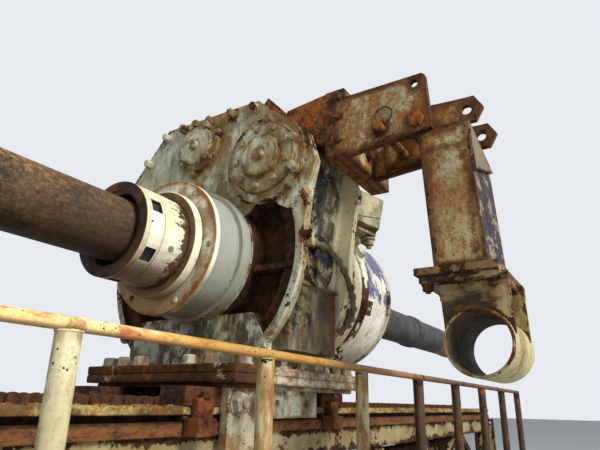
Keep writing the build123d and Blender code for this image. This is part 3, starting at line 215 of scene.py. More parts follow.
class Nodes:
    """A node tree being built."""

    def __init__(self, tree):
        self.tree = tree
        tree.nodes.clear()

    def add(self, kind, inputs=None, out=0, **options):
        """A node: its options first, then values or wires for its sockets; gives back one output."""
        node = self.tree.nodes.new(kind)
        for name, value in options.items():
            setattr(node, name, value)
        for key, value in (inputs or {}).items():
            socket = node.inputs[key]
            for one in value if isinstance(value, list) else [value]:
                if isinstance(one, Wire):
                    self.tree.links.new(one.socket, socket)
                elif one is not None and socket.type == "RGBA":
                    socket.default_value = (*(ink(one) if isinstance(one, str) else one), 1.0)
                elif one is not None:
                    socket.default_value = one
        return Wire(self, node.outputs[out]) if node.outputs else None

    def mix(self, factor, first, second):
        """Colour between two."""
        return self.add("ShaderNodeMix", {0: factor, 6: first, 7: second}, 2, data_type="RGBA")

    def vector(self, x=0.0, y=0.0, z=0.0):
        return self.add("ShaderNodeCombineXYZ", {0: x, 1: y, 2: z})


class Finish(Nodes):
    """A material on Object coordinates."""

    def __init__(self, name):
        self.material = bpy.data.materials.new(name)
        self.material.use_nodes = True
        super().__init__(self.material.node_tree)
        self.seed = 0.0
        self.place = self.add("ShaderNodeTexCoord", out="Object")
        self.x = self.add("ShaderNodeSeparateXYZ", {0: self.place})
        self.y, self.z = (Wire(self, self.x.socket.node.outputs[i]) for i in (1, 2))

    def kept(self, name):
        """An attribute that the piece's mesh carries."""
        return self.add("ShaderNodeAttribute", out="Fac", attribute_name=name)

    def edges(self, rough, swing, low, high):
        """1 at the sharp edges, ragged by a noise, down to 0 at a distance."""
        return (self.kept("near") + rough.swing(swing)).rise(FAR - low, FAR - high)

    def texture(self, kind, stretch, **values):
        """A texture stretched along the axes, on a fresh part of its pattern."""
        self.seed += 7.31
        shift = (self.seed, self.seed * 0.7, self.seed * 1.3)
        spot = self.add("ShaderNodeVectorMath", {0: self.place, 1: stretch, 2: shift}, operation="MULTIPLY_ADD")
        return self.add("ShaderNodeTex" + kind, {"Vector": spot, **values})

    def noise(self, scale, detail=4.0, roughness=0.62, stretch=(1, 1, 1)):
        return self.texture("Noise", stretch, Scale=scale, Detail=detail, Roughness=roughness)

    def cells(self, scale):
        """Distance to the nearest of scattered points."""
        return self.texture("Voronoi", (1, 1, 1), Scale=scale)

    def radius(self, y, z):
        """Distance from an axis along X through y, z."""
        y, z = self.y - y, self.z - z
        return (y * y + z * z) ** 0.5

    def done(self, colour, roughness, height, depth=0.002):
        """Wires the surface up; depth is the relief's height in metres."""
        normal = self.add("ShaderNodeBump", {"Strength": 1.0, "Distance": depth, "Height": height})
        surface = {"Base Color": colour, "Roughness": roughness, "Normal": normal, "Specular IOR Level": SHEEN}
        self.add("ShaderNodeOutputMaterial", {"Surface": self.add("ShaderNodeBsdfPrincipled", surface)})
        return self.material


# Paint and rust


def rust_colour(f, orange=0.5, dark=0.5, size=1.0):
    """Colour of rusted steel, from dark scale to orange bloom."""
    broad, fine = f.noise(6 * size, 5), f.noise(34 * size, 5, 0.7)
    colour = f.mix(broad.rise(0.62 - dark * 0.35, 0.78 - dark * 0.35), SCALE_DARK, RUST_BROWN)
    bloom = (broad * 0.5 + fine * 0.5).rise(0.66 - orange * 0.22, 0.8 - orange * 0.22)
    return colour.laid((fine.rise(0.42, 0.66) * 0.6, RUST_RED), (bloom, RUST_ORANGE))


def rusted(name, orange=0.5, dark=0.5, size=1.0, relief=0.0025, tone=None):
    """Bare steel with heavy rust. tone(finish, colour) may recolour it by place."""
    f = Finish(name)
    colour = rust_colour(f, orange, dark, size)
    if tone:
        colour = tone(f, colour)
    pits = f.noise(90 * size, 4, 0.7)
    return f.done(colour, 0.62 + pits * 0.35, pits * 0.5 + f.noise(22 * size, 4) * 0.5, relief)


def painted(name, paint, faded, wear=0.5, streaks=0.4, specks=0.5, size=1.0, zone=None, tone=None, gloss=0.5,
            orange=0.5, dark=0.5, edge=0.12, reach=0.035, stain=0.3, stain_colour=STAIN, blotch=1.0, soft=0.05):
    """Old paint: faded, stained in soft patches and runs, and chipped to rust, most near edges and below bolts.

    zone(finish) adds wear by place, and tone(finish, colour) recolours the paint by place.
    """
    f = Finish(name)
    broad, middle = f.noise(3.2 * size, 4), f.noise(13 * size, 6, 0.68)
    fine = f.noise(70 * size, 4, 0.7)
    runs = f.noise(1, 4, 0.6, (24, 24, 2.4))
    mottle = f.noise(1, 6, 0.72, (17 * size, 17 * size, 9 * size))
    wash = f.noise(1, 5, 0.66, (7 * blotch, 7 * blotch, 3 * blotch))
    near = f.edges(middle, 0.03, reach, 0.0)
    drip = f.kept("drip") * (mottle * 1.6 + 0.1)
    field = broad * 0.4 + middle * 0.4 + fine * 0.2 + runs * 0.22 * streaks + near * edge + drip * 0.035
    if zone:
        field = field + zone(f)
    limit = 0.70 + 0.11 * streaks - wear * 0.2
    bare, halo = field.rise(limit - 0.008, limit + 0.008), field.rise(limit - 0.11, limit)
    wet = mottle * 0.45 + wash * 0.55
    soaked, core = (wet.rise(level - soft * 0.5, level + soft) for level in (0.64 - stain * 0.2, 0.69 - stain * 0.19))
    colour = f.mix(f.noise(4, 3).rise(0.35, 0.65), shade(paint), shade(faded)).laid(
        (fine.rise(0.45, 0.75) * 0.35, GRIME),
        (runs.rise(0.5, 0.72) * streaks, OCHRE),
        (soaked * 0.6, stain_colour),
        (core * 0.65, darker(ink(stain_colour), 0.55)),
        ((near * 0.7).most(halo * 0.65) * mottle.rise(0.3, 0.6), OCHRE),
        (drip.rise(0.25, 0.9) * 0.85, stain_colour),
    )
    if tone:
        colour = tone(f, colour)
    dots = f.cells(52 * size).rise(0.24, 0.1) * f.noise(9, 3).rise(0.64 - specks * 0.14, 0.7 - specks * 0.14)
    colour = colour.laid((dots, SCALE_DARK), (bare, rust_colour(f, orange, dark, size)))
    rough = gloss + bare * 0.35 + fine * 0.12 + soaked * 0.12
    height = (1.0 - bare) * 0.55 + fine * (0.12 + bare * 0.5) + middle * 0.2 - dots * 0.3
    return f.done(colour, rough, height, 0.0022)


# What is particular to a piece, by place


def pocket(f):
    """Where the housing's front pockets are, which rust first, and the foot."""
    radius = f.radius(*ROD_AXIS)
    shallow = f.x.rise(FACE_X + 0.036, FACE_X + 0.032) * radius.rise(0.464, 0.459)
    deep = f.x.rise(FACE_X + 0.12, FACE_X + 0.11) * radius.rise(0.414, 0.409)
    low = (f.z + f.noise(10, 4) * 0.08).rise(ROD_Z + 0.262, ROD_Z + 0.232)
    hollow = f.x.rise(FACE_X + 0.003, FACE_X + 0.008) * shallow.most(deep) * low
    return hollow * 0.5 + f.z.rise(FOOT_TOP + 0.16, FOOT_TOP) * 0.03


def housing_tone(f, colour):
    """Brown dirt round the covers and under the top edge, dark peeled patches on the sides and the foot; painted shade
    and dirt darken the waist's sides, a painted shadow of the side arm and dirt darken its wall, and a painted
    highlight lies along the rear flange's edge.
    """
    rough, streak = f.noise(12, 5, 0.7), f.noise(1, 5, 0.7, (16, 16, 4))
    face = f.x.rise(FACE_X + 0.03, FACE_X + 0.01)
    big = (f.radius(*BIG_COVER) + rough.swing(0.1)).band(0.15, 0.2, 0.03)
    small = (f.radius(*SMALL_COVER) + rough.swing(0.1)).band(0.088, 0.135, 0.028)
    upper = (f.z + streak.swing(0.5)).rise(ROD_Z + 0.38, ROD_Z + 0.56) * streak.rise(0.44, 0.6)
    dirt = (big.most(small) * rough.rise(0.36, 0.52)).most(upper * 0.75) * face
    corner = (f.z + streak.swing(0.4)).rise(ROD_Z - 0.1, ROD_Z - 0.25) * face * streak.rise(0.36, 0.52)
    pale = (f.noise(5, 5, 0.72) * 0.6 + streak * 0.4).rise(0.49, 0.55) * face * (1.0 - dirt)
    deep = (f.noise(7, 6, 0.74) * 0.5 + rough * 0.5).rise(0.57, 0.62) * face
    side = f.x.band(FACE_X + 0.045, FACE_X + 0.2, 0.004) * abs(f.y).rise(0.2, 0.3)
    wall = f.x.band(FACE_X + 0.2, BACK_X - 0.09, 0.006) * f.y.rise(-0.2, -0.3)
    strip = f.x.rise(BACK_X - 0.075, BACK_X - 0.07) * f.y.rise(-0.42, -0.44)
    peel = f.noise(13, 6, 0.76).rise(0.49, 0.5) * f.z.band(ROD_Z, ROD_Z + 0.36, 0.05)
    return colour.laid(
        (dirt * 0.9, f.mix(rough.rise(0.4, 0.6), "44300f", "80602a")),
        (corner * 0.85, "33271a"),
        (pale * 0.75, "c3c9b6"),
        (deep * 0.85, "65491b"),
        # painted shade with dirt: the waist's sides darkened
        (side * (rough * 0.5 + streak * 0.5).rise(0.46, 0.54) * 0.95, "2a2216"),
        # painted shadow of the side arm with dirt: the waist's wall darkened
        (wall * (rough * 0.6 + streak * 0.4).rise(0.44, 0.54) * 0.9, "3a3020"),
        # painted highlight: a near-white strip along the rear flange's edge
        (strip * rough.rise(0.68, 0.56) * 0.9, "f0e4bb"),
        (side * peel, "131216"),
    )


def boss_tone(f, colour):
    """Ochre on the ring's face, most at its left and low side, a painted highlight that turns the upper side of the
    rim white, and the neck's blue-grey paint darkened as painted shade from the rim.
    """
    rough = f.noise(9, 6, 0.7)
    face = f.x.rise(RING_X + 0.006, RING_X + 0.002)
    radius = f.radius(*ROD_AXIS)
    outer = (radius + rough.swing(0.09)).rise(0.226, 0.25)
    low = (f.z - f.y * 0.6 + rough.swing(0.3)).rise(ROD_Z - 0.02, ROD_Z - 0.2)
    amount = face * (rough.rise(0.4, 0.54) * 0.75).most(outer * 0.9).most(low * 0.92)
    neck = f.x.rise(RING_X + 0.026, RING_X + 0.032)
    rim = (1.0 - face) * (1.0 - neck) * (f.z - f.y * 0.4).rise(ROD_Z - 0.1, ROD_Z + 0.02)
    orange = face * (radius + rough.swing(0.12)).rise(0.236, 0.252) * f.noise(13, 5, 0.7).rise(0.46, 0.54)
    root = f.x.band(FACE_X - 0.053, FACE_X - 0.0505, 0.001)
    under = (f.z - f.y * 0.3).rise(ROD_Z - 0.05, ROD_Z - 0.26) * (1.0 - face)
    return colour.laid(
        (amount, f.mix(rough.rise(0.35, 0.65), "a07b38", "74491c")),
        # painted highlight: the rim's upper side turned near white
        (rim * 0.9, "f4f1e4"),
        (orange * 0.9, "8a4f1a"),
        # the neck's blue-grey paint, darkened as painted shade from the rim
        (neck * (0.9 - rough * 0.2), "8d9389"),
        (root * rough.rise(0.3, 0.6) * 0.8, "5a4630"),
        (under * rough.rise(0.3, 0.6) * 0.7, "77592e"),
    )


def cover_tone(f, colour):
    rough = f.noise(24, 6, 0.75)
    near = f.edges(rough, 0.02, 0.018, 0.004)
    return colour.laid((near * rough.rise(0.4, 0.56) * 0.85, "5c3d1a"), (rough.rise(0.56, 0.64) * 0.7, "6e4f24"))


def sleeve(name):
    """Cream paint, brown on the front face and in the windows, ragged near the collar."""
    f = Finish(name)
    radius = f.radius(*ROD_AXIS)
    ragged, fine = f.noise(16, 6, 0.7), f.noise(80, 4, 0.7)
    around = f.noise(1, 4, 0.6, (3, 22, 22))
    face = f.x.rise(SLEEVE_X + 0.006, SLEEVE_X + 0.0015)
    torn = f.noise(1, 5, 0.75, (14, 46, 46))
    rear = (f.x + ragged * 0.04 + torn * 0.07).rise(COLLAR_X + 0.025, COLLAR_X + 0.03)
    flakes = f.noise(1, 5, 0.8, (30, 60, 60)).rise(0.52, 0.535)
    rear = rear * (1.0 - flakes * (f.x + ragged * 0.03).rise(COLLAR_X + 0.006, COLLAR_X - 0.008))
    window = radius.rise(0.1655, 0.1635) * f.x.rise(SLEEVE_X + 0.02, SLEEVE_X + 0.024)
    low = (f.z - f.y * 0.3 + around.swing(0.3)).rise(ROD_Z + 0.02, ROD_Z - 0.15)
    green = (f.x - (SLEEVE_X + 0.128)) ** 2.0 + (f.y + 0.155) ** 2.0 + (f.z - (ROD_Z - 0.062)) ** 2.0
    paint = f.mix(f.noise(5).rise(0.4, 0.6), shade("chuck"), "d9cfae").laid(
        (f.x.band(SLEEVE_X + 0.004, SLEEVE_X + 0.02, 0.002) * 0.45, "b98f4d"),
        (around.rise(0.5, 0.64) * 0.45, "a5803f"),
        (low * 0.85, "63452a"),
        ((green ** 0.5 + torn * 0.02).rise(0.024, 0.02) * 0.85, "3f6f58"),
    )
    ahead = (f.x + ragged * 0.05).rise(COLLAR_X - 0.06, COLLAR_X)
    chips = (ragged * 0.35 + torn * 0.4 + fine * 0.25 + ahead * 0.07).rise(0.585, 0.6)
    bare = face.most(rear).most(window).most(chips)
    steel = f.mix(f.noise(12, 5).rise(0.4, 0.65), "31231c", "5c402a").laid(
        (face * (radius + ragged * 0.02).rise(0.156, 0.142) * 0.8, "15151a"),
        (window, "33322e"),
    )
    height = (1.0 - bare) * 0.5 + fine * 0.3 + around * 0.2
    return f.done(f.mix(bare, paint, steel), 0.4 + bare * 0.35 + fine * 0.1, height, 0.0015)


def collar(name):
    """Brown face worn to steel, cream rim, browner on its lower side as painted shade."""
    f = Finish(name)
    radius = f.radius(*ROD_AXIS)
    ragged, fine = f.noise(18, 6, 0.7), f.noise(80, 4, 0.7)
    front = f.x.rise(COLLAR_X + 0.004, COLLAR_X + 0.001)
    chips = (radius + ragged * 0.03 + fine * 0.01).rise(0.198, 0.192) * (ragged * 0.5 + fine * 0.5).rise(0.45, 0.5)
    face = f.mix(f.noise(9, 5).rise(0.35, 0.65), "5f4127", "7d5c3a").laid((chips.most(fine.rise(0.62, 0.7)), "3a2b20"))
    # painted shade: the cream rim browner towards its lower side
    low = (f.z - f.y * 0.3 + ragged * 0.15).rise(ROD_Z + 0.02, ROD_Z - 0.13)
    cream = f.mix(ragged.rise(0.5, 0.62) * 0.5, "ede5c8", "a98a52").laid((low * 0.85, "6b4a25"))
    colour = f.mix(radius.rise(0.196, 0.199).most(1.0 - front), face, cream)
    return f.done(colour, 0.5 + fine * 0.2, fine * 0.6 + ragged * 0.4, 0.0015)


def rod(name):
    """Olive-brown mill scale with fine grain ahead, grey behind, and a pale band of rust at the far joint; tan grain
    on top as a painted highlight, and painted shade along the bottom.
    """
    f = Finish(name)
    broad, patch = f.noise(2.6, 5, 0.6), f.noise(9, 6, 0.7)
    grain, fine = f.noise(1, 6, 0.8, (45, 70, 70)), f.noise(190, 3, 0.75)
    top = (f.z + patch * 0.1).rise(ROD_Z + 0.04, ROD_Z + 0.13) * f.x.rise(-0.4, -0.7)
    pits = (grain * 0.6 + patch * 0.4).rise(0.45, 0.39).most(f.noise(15, 6, 0.76).rise(0.6, 0.63))
    colour = f.mix(patch.rise(0.36, 0.62), "2f241a", "55412b").laid(
        (broad.rise(0.45, 0.62) * 0.6, "533122"),
        (grain.rise(0.46, 0.62) * 0.6, "77603f"),
        (fine.rise(0.5, 0.68) * 0.6, "1d150f"),
        # painted highlight: tan grain on the rod's upper side
        (top * grain.rise(0.48, 0.6) * 0.75, "9a7440"),
        (pits * 0.8, "231812"),
        # painted shade: the rod's lower side darkened
        ((f.z + patch * 0.05).rise(ROD_Z - 0.01, ROD_Z - 0.11) * 0.7, "1f1812"),
        ((f.x + patch * 0.25).rise(-1.85, -1.62) * 0.5, "3a2b24"),
        (f.x.rise(-0.2, 0.1) * 0.85, f.mix(patch.rise(0.4, 0.6), "2f3033", "494a4d")),
        ((f.x + patch * 0.05).band(1.80, 2.6, 0.02) * 0.8, "8a5c42"),
    )
    return f.done(colour, 0.5 + patch * 0.25 + fine * 0.1, patch * 0.4 + grain * 0.35 + fine * 0.25, 0.0022)


def drum_tone(f, colour):
    """Blue patches on the right side, grime ahead, and painted shade browner towards the bottom."""
    side = (f.y + f.noise(5, 5, 0.7) * 0.3).rise(-0.05, -0.12)
    upper = (f.z + f.noise(6) * 0.15).band(ROD_Z + 0.03, ROD_Z + 0.34, 0.02)
    patch = f.noise(9, 6, 0.7, (1, 1, 0.7)).rise(0.465, 0.475)
    blue = f.mix(f.noise(30).rise(0.45, 0.6), shade("patch"), "5b6286")
    return colour.laid(
        (side * upper * patch * f.x.band(-0.36, -0.1, 0.01), blue),
        ((f.x + f.noise(8) * 0.1).rise(-0.33, -0.42) * 0.55, "8d7a4a"),
        # painted shade: browner towards the bottom
        ((f.z + f.noise(7, 5, 0.7) * 0.2).rise(ROD_Z - 0.12, ROD_Z - 0.3) * 0.5, "7d6d4e"),
    )


def motor_tone(f, colour):
    """A dirty seam across the motor and grime below it."""
    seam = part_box("drive_motor")[0].z + 0.11
    rough = f.noise(22, 5, 0.75)
    grime = (f.z + rough * 0.08).rise(seam + 0.04, seam - 0.02) * rough.rise(0.42, 0.56)
    return colour.laid((grime * 0.8, "4a4330"), (f.z.band(seam - 0.003, seam + 0.003, 0.0015), "221e15"))


def pump_tone(f, colour):
    return colour.laid((f.noise(11, 6, 0.74).rise(0.5, 0.515), "1d1e2a"))


def box_tone(f, colour):
    """A cluster of black flecks in the upper front corner and rust down the right edge."""
    low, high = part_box("lube_box")
    middle = (low.x + high.x) / 2
    cluster = (f.x + f.noise(6) * 0.1).rise(middle + 0.05, middle - 0.02)
    cluster = cluster * (f.z + f.noise(7) * 0.1).band(high.z - 0.16, high.z + 0.03, 0.03)
    flecks = (f.noise(24, 5, 0.8) + cluster * 0.1).rise(0.6, 0.61)
    streak = (f.x + f.noise(9, 5, 0.72).swing(0.14)).rise(high.x - 0.08, high.x - 0.01)
    return colour.laid((streak * 0.8, "6b3717"), (flecks, "0f0e0c"))


def plate(name, rusty):
    """Pale paint, rusted through at the front by the amount given."""

    def tone(f, colour):
        rough = f.noise(1, 6, 0.74, (11, 11, 18))
        near = f.edges(rough, 0.03, 0.026, 0.006)
        return colour.laid(((rough + near * 0.08).rise(0.54, 0.62) * 0.8, "7a5526"))

    return painted(name, "plate", "a29d85", streaks=0.35, tone=tone, dark=0.75, edge=0.05, reach=0.015, stain=0.7,
                   stain_colour="6c5a36", zone=lambda f: (f.x + f.noise(5) * 0.4).rise(-0.8, -1.05) * rusty - 0.01)


def shoe_tone(f, colour):
    lit = f.y.rise(-0.26, -0.3)
    return colour.laid((lit * f.noise(18, 4, 0.7).rise(0.35, 0.6) * 0.8, "8f4f26"))


def arm(name, extra=0.0, tone=None):
    """Pale green paint with soft clouds of orange-brown rust, darker to the edges, and many small dots."""

    def rusting(f, colour):
        rough, fine = f.noise(26, 6, 0.75), f.noise(75, 4, 0.8)
        near = f.edges(rough, 0.04, 0.034, 0.006)
        cloud = f.noise(1, 8, 0.8, (13, 13, 8)) + near * 0.16 + extra
        pepper = cloud * 0.55 + rough * 0.2 + fine * 0.25
        colour = colour.laid(
            (pepper.rise(0.43, 0.52) * 0.9, "8d5a1f"),
            (pepper.rise(0.51, 0.59) * 0.85, "653913"),
            (fine.rise(0.56, 0.66) * 0.6, "6b4118"),
            (near * (rough * 0.9 + 0.3).least(1.0) * 0.85, "452611"),
        )
        return tone(f, colour) if tone else colour

    return painted(name, "arm", "arm_faded", wear=0.6, streaks=0.3, size=1.5, gloss=0.52, orange=0.4, dark=0.6,
                   edge=0.13, reach=0.014, stain=0.5, specks=1.2, tone=rusting, stain_colour="7c5a2c", blotch=2.2,
                   soft=0.12)


def arm_post_tone(f, colour):
    """Blue-black peel on the leaning side face, which painted shade also darkens all over, dull paint on the gusset
    over it, paler paint low on the front.
    """
    lean = f.y - (f.z - 1.462) * 0.05
    side, gusset = lean.rise(-1.09, -1.0935), lean.rise(-1.0965, -1.0985)
    peel = f.noise(1, 6, 0.74, (8, 8, 14)).rise(0.46, 0.47) * (1.0 - gusset)
    low = (f.z + f.noise(9, 5, 0.7).swing(0.5)).rise(1.76, 1.5) * (1.0 - side)
    pale = f.noise(1, 7, 0.78, (20, 20, 12)).rise(0.45, 0.54) * f.kept("near").rise(FAR - 0.004, FAR - 0.02)
    # painted shade with peel: the side face darker all over, blue-black where peeled
    return colour.laid((side * 0.75, "7d7159"), (side * peel, "10121f"), (low * pale * 0.62, "b5a97c"),
                       (gusset * 0.5, "5e5440"))


def flange_tone(f, colour):
    """Brown edges, a cream underside with dark streaks, and dark rust with a painted shadow above the ring."""
    rough = f.noise(1, 6, 0.72, (7, 9, 26))
    edge = f.x.rise(-1.098, -1.104) * f.z.rise(1.40, 1.425)
    under = (f.z + rough.swing(0.02)).rise(1.405, 1.413) * (1.0 - edge)
    # dark rust and painted shadow on the web above the ring
    above = (f.radius(*PIPE_RING) + rough.swing(0.16)).rise(0.19, 0.135) * f.z.rise(1.24, 1.3)
    above = above * (f.y + rough.swing(0.2)).rise(-1.115, -1.075)
    return colour.laid((edge * (0.5 + rough * 0.6), "75502f"), ((1.0 - edge) * 0.35, "6a5632"),
                       (under * rough.rise(0.45, 0.5), "2a1b10"), (above * 0.93, "1c1008"),
                       (rough.rise(0.56, 0.6) * 0.7, "774c22"))


def ring_tone(f, colour):
    """Painted shade: the pipe ring's bore darkened to brown, with darker patches."""
    # painted shade: the ring's bore darkened to brown
    bore_shade = f.radius(*PIPE_RING).rise(0.0965, 0.0935)
    rough = f.noise(7, 6, 0.7)
    return colour.laid((bore_shade * (0.6 + rough * 0.5).least(0.95), "41311a"),
                       (bore_shade * rough.rise(0.56, 0.6) * 0.7, "221a12"))


def rail_tone(f, colour):
    """A crumbling ochre ledge, and brown lines along the rail below it."""
    rough = f.noise(14, 5, 0.7)
    ledge = (f.z + rough * 0.02).band(RAIL_TOP - 0.012, RAIL_TOP + 0.03, 0.004)
    pale = f.mix(rough.rise(0.4, 0.62), "7d6230", "bfa768").laid(
        (f.noise(60, 4, 0.7).rise(0.45, 0.6) * 0.5, "dcc891"),
        (f.noise(7, 6, 0.75).rise(0.45, 0.56) * 0.85, "5c3a17"),
        (f.noise(16, 5, 0.75).rise(0.52, 0.6) * 0.8, "a35f22"),
    )
    lined = f.noise(1, 6, 0.8, (28, 60, 80))
    lower = f.z.rise(RAIL_TOP - 0.045, RAIL_TOP - 0.055)
    return colour.laid((ledge * 0.85, pale), (lower * lined.rise(0.35, 0.6) * 0.75, "8e5a30"))


def rail_post_tone(f, colour):
    """Cream posts ahead, patched with ochre and pale green further on, dark brown at the rear."""
    rough = f.noise(1, 6, 0.72, (24, 24, 5))
    far = (f.x + rough.swing(0.9)).rise(-1.95, -1.4)
    cloud = f.noise(1, 6, 0.7, (30, 30, 9))
    last = (f.x + rough.swing(0.5)).rise(-0.55, -0.28)
    return colour.laid(
        (far * 0.85, f.mix(rough.rise(0.4, 0.6), "92581c", "947238")),
        (far * cloud.rise(0.47, 0.57) * 0.75, "c3bd95"),
        (far * cloud.rise(0.44, 0.38) * 0.6, "6f4a22"),
        (last * 0.93, f.mix(rough.rise(0.45, 0.6), "2c2019", "493320")),
    )


def tube_tone(f, colour):
    """Rust-pink bands at the joints, a painted highlight in pale patches along the top, brown along the underside,
    browner towards the rear.
    """
    rough = f.noise(1, 6, 0.72, (10, 30, 30))
    # painted highlight: pale patches along the tube's top
    top_highlight = f.noise(1, 6, 0.75, (12, 40, 40)).rise(0.54, 0.6) * f.z.rise(1.176, 1.184)
    bands = [((f.x + rough.swing(0.12)).band(place, place + 0.07, 0.025) * rough.rise(0.35, 0.6) * 0.8, "a85a2f")
             for place in (-1.96, -1.33, -0.7, 0.12, 0.95)]
    return colour.laid(
        (rough.rise(0.52, 0.6) * 0.7, "a8622b"),
        (top_highlight * 0.7, "f7ecc6"),
        ((f.z + rough.swing(0.02)).rise(1.174, 1.166) * 0.6, "7d4f28"),
        ((f.x + rough.swing(0.5)).rise(-2.05, -1.6) * 0.75, "a5772e"),
        ((f.x + rough.swing(1.2)).rise(-1.5, -0.5) * 0.8, "84572a"),
        *bands,
        ((f.x + rough.swing(0.8)).rise(-0.5, 0.2) * 0.8, "47342a"),
    )


def patchy_bolt(name):
    """Bolts whose paint is left on some and gone on others."""
    return painted(name, "housing", "8f7a4c", wear=0.52, streaks=0.2, size=2.2, orange=0.7, dark=0.6, stain=0.9,
                   zone=lambda f: f.noise(5, 1).swing(0.7))


def foot_bolt(name):
    return painted(name, "b9b8a6", "8d8a76", wear=0.42, streaks=0.2, size=2.0, orange=0.6, stain=0.8)


FINISHES = {
    "housing paint": lambda n: painted(n, "housing", "housing_faded", wear=0.42, streaks=0.6, specks=0.9, zone=pocket,
                                       tone=housing_tone, gloss=0.42, orange=0.05, dark=0.3, edge=0.07, reach=0.02,
                                       stain=0.8, stain_colour="85692f"),
    "boss ring paint": lambda n: painted(n, "boss", "boss_faded", wear=0.26, streaks=0.3, specks=0.3, tone=boss_tone,
                                         gloss=0.34, edge=0.05, stain=0.1),
    "cover paint": lambda n: painted(n, "c6c9ae", "arm_faded", wear=0.42, size=1.6, gloss=0.42, edge=0.06, reach=0.02,
                                     stain=0.6, stain_colour="7c5e30", tone=cover_tone),
    "painted bolt": patchy_bolt,
    "cover bolt": patchy_bolt,
    "chuck paint": sleeve,
    "collar paint": collar,
    "bore steel": lambda n: rusted(n, 0.1, 0.2, relief=0.0015),
    "rod steel": rod,
    "boss paint": lambda n: painted(n, "boss", "boss_faded", wear=0.38, gloss=0.36, edge=0.05, reach=0.02),
    "drum paint": lambda n: painted(n, "dfddd0", "c4c0a8", wear=0.36, streaks=0.55, tone=drum_tone, gloss=0.36),
    "clamp paint": lambda n: painted(n, "boss", "boss_faded", wear=0.6, gloss=0.36, edge=0.05, reach=0.02,
                                     zone=lambda f: 0.05),
    "motor paint": lambda n: painted(n, "a39f80", "7f7a5a", wear=0.34, streaks=0.6, size=1.5, gloss=0.45, edge=0.06,
                                     reach=0.015, stain=0.75, stain_colour="57503a", tone=motor_tone),
    "pump paint": lambda n: painted(n, "98957a", "6f694c", wear=0.42, tone=pump_tone, size=1.4, edge=0.06, reach=0.015,
                                    stain=0.95, stain_colour="43351f"),
    "box paint": lambda n: painted(n, "84806a", "655f44", wear=0.36, streaks=0.6, tone=box_tone, size=1.2, gloss=0.42,
                                   edge=0.05, reach=0.015, stain=1.0, stain_colour="40361f"),
    "pipe paint": lambda n: painted(n, "8d8870", "6a6450", wear=0.6, size=3.0, dark=0.3, stain=0.9,
                                    stain_colour="4a3b26"),
    "plate paint": lambda n: plate(n, 0.17),
    "cheek paint": lambda n: plate(n, 0.02),
    "shoe rust": lambda n: rusted(n, 0.5, 0.3, 1.8, 0.003, shoe_tone),
    "foot bolt": foot_bolt,
    "cheek bolt": foot_bolt,
    "steel bolt": lambda n: rusted(n, 0.7, 0.7, 2.5, 0.0012),
    "bracket paint": lambda n: rusted(n, 1.0, 0.8, 1.5, 0.002, tone=lambda f, colour: colour.laid(
        (f.noise(9, 5, 0.7).rise(0.6, 0.62) * 0.6, "9a8c5c"))),
    "arm paint": arm,
    "arm plate paint": lambda n: arm(n, 0.06),
    "pin rust": lambda n: rusted(n, 1.1, 0.9, 2.0, 0.0015),
    "post paint": lambda n: arm(n, -0.01, arm_post_tone),
    "ring bracket paint": lambda n: painted(n, "b8a468", "ring", streaks=0.3, size=1.5, tone=flange_tone, orange=0.6,
                                            dark=0.6, edge=0.14, reach=0.016, stain=0.8, stain_colour="7d5a30"),
    "ring paint": lambda n: painted(n, "ring", "a29b72", wear=0.36, streaks=0.3, size=1.6, tone=ring_tone, gloss=0.7,
                                    zone=lambda f: f.z.rise(1.29, 1.335) * 0.1, orange=0.8, dark=0.6, edge=0.12,
                                    reach=0.014, stain=0.7, stain_colour="83693a"),
    "arm bolt": lambda n: rusted(n, 0.75, 0.8, 2.4, 0.0012),
    "wire": lambda n: rusted(n, 0.3, 0.4, 3.0, 0.0006),
    "leader paint": lambda n: painted(n, "b0a67e", "8d8158", wear=0.72, streaks=0.6, size=0.9, orange=0.6, dark=0.4),
    "beam paint": lambda n: painted(n, "8d8570", "6f6652", wear=0.75, size=0.8, orange=0.45),
    "rail rust": lambda n: rusted(n, size=0.9, relief=0.004, tone=rail_tone),
    "tray rust": lambda n: rusted(n, 0.45),
    "sprocket rust": lambda n: rusted(n, 0.3, 0.6, 1.5),
    "chain rust": lambda n: rusted(n, 0.35, 0.7, 2.2, 0.0015),
    "crust": lambda n: rusted(n, 0.6, 0.8, 2.0, tone=lambda f, colour: colour.laid(
        (f.noise(20).rise(0.4, 0.6), "9a7b3e"))),
    "post rail paint": lambda n: painted(n, "post", "a89f74", wear=0.3, streaks=0.3, specks=0.7, size=1.3,
                                         tone=rail_post_tone, zone=lambda f: f.x.rise(-1.2, 0.2) * 0.12, gloss=0.4,
                                         orange=0.7, stain=0.45, stain_colour="8b6e3c"),
    "tube paint": lambda n: painted(n, "rail", "e0b268", wear=0.4, streaks=0.2, specks=1.2, size=1.6, tone=tube_tone,
                                    gloss=0.42, zone=lambda f: f.x.rise(-1.4, 0.4) * 0.1, orange=0.9, stain=0.4),
    "walkway paint": lambda n: painted(n, "8f8a78", "6b6450", wear=0.7, size=1.1),
}


@cache
def finish(name):
    """The finish of that name, made once."""
    return FINISHES[name](name)


# Meshes


def linked(name, data):
    obj = bpy.data.objects.new(name, data)
    bpy.context.scene.collection.objects.link(obj)
    return obj


def plain(obj, name):
    """The evaluated mesh of obj as a fresh plain object; obj goes."""
    bpy.context.view_layer.update()
    mesh = bpy.data.meshes.new_from_object(obj.evaluated_get(bpy.context.evaluated_depsgraph_get()))
    old = obj.data
    bpy.data.objects.remove(obj)
    if old.users == 0:
        bpy.data.batch_remove((old,))
    mesh.name = name
    return linked(name, mesh)


def settled(piece, node):
    """Puts a piece on the body of a node."""
    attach(piece, frame["nodes"][node]["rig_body"])
    for part in frame["record"]["subparts"]:
        part["node"] == node
    return piece


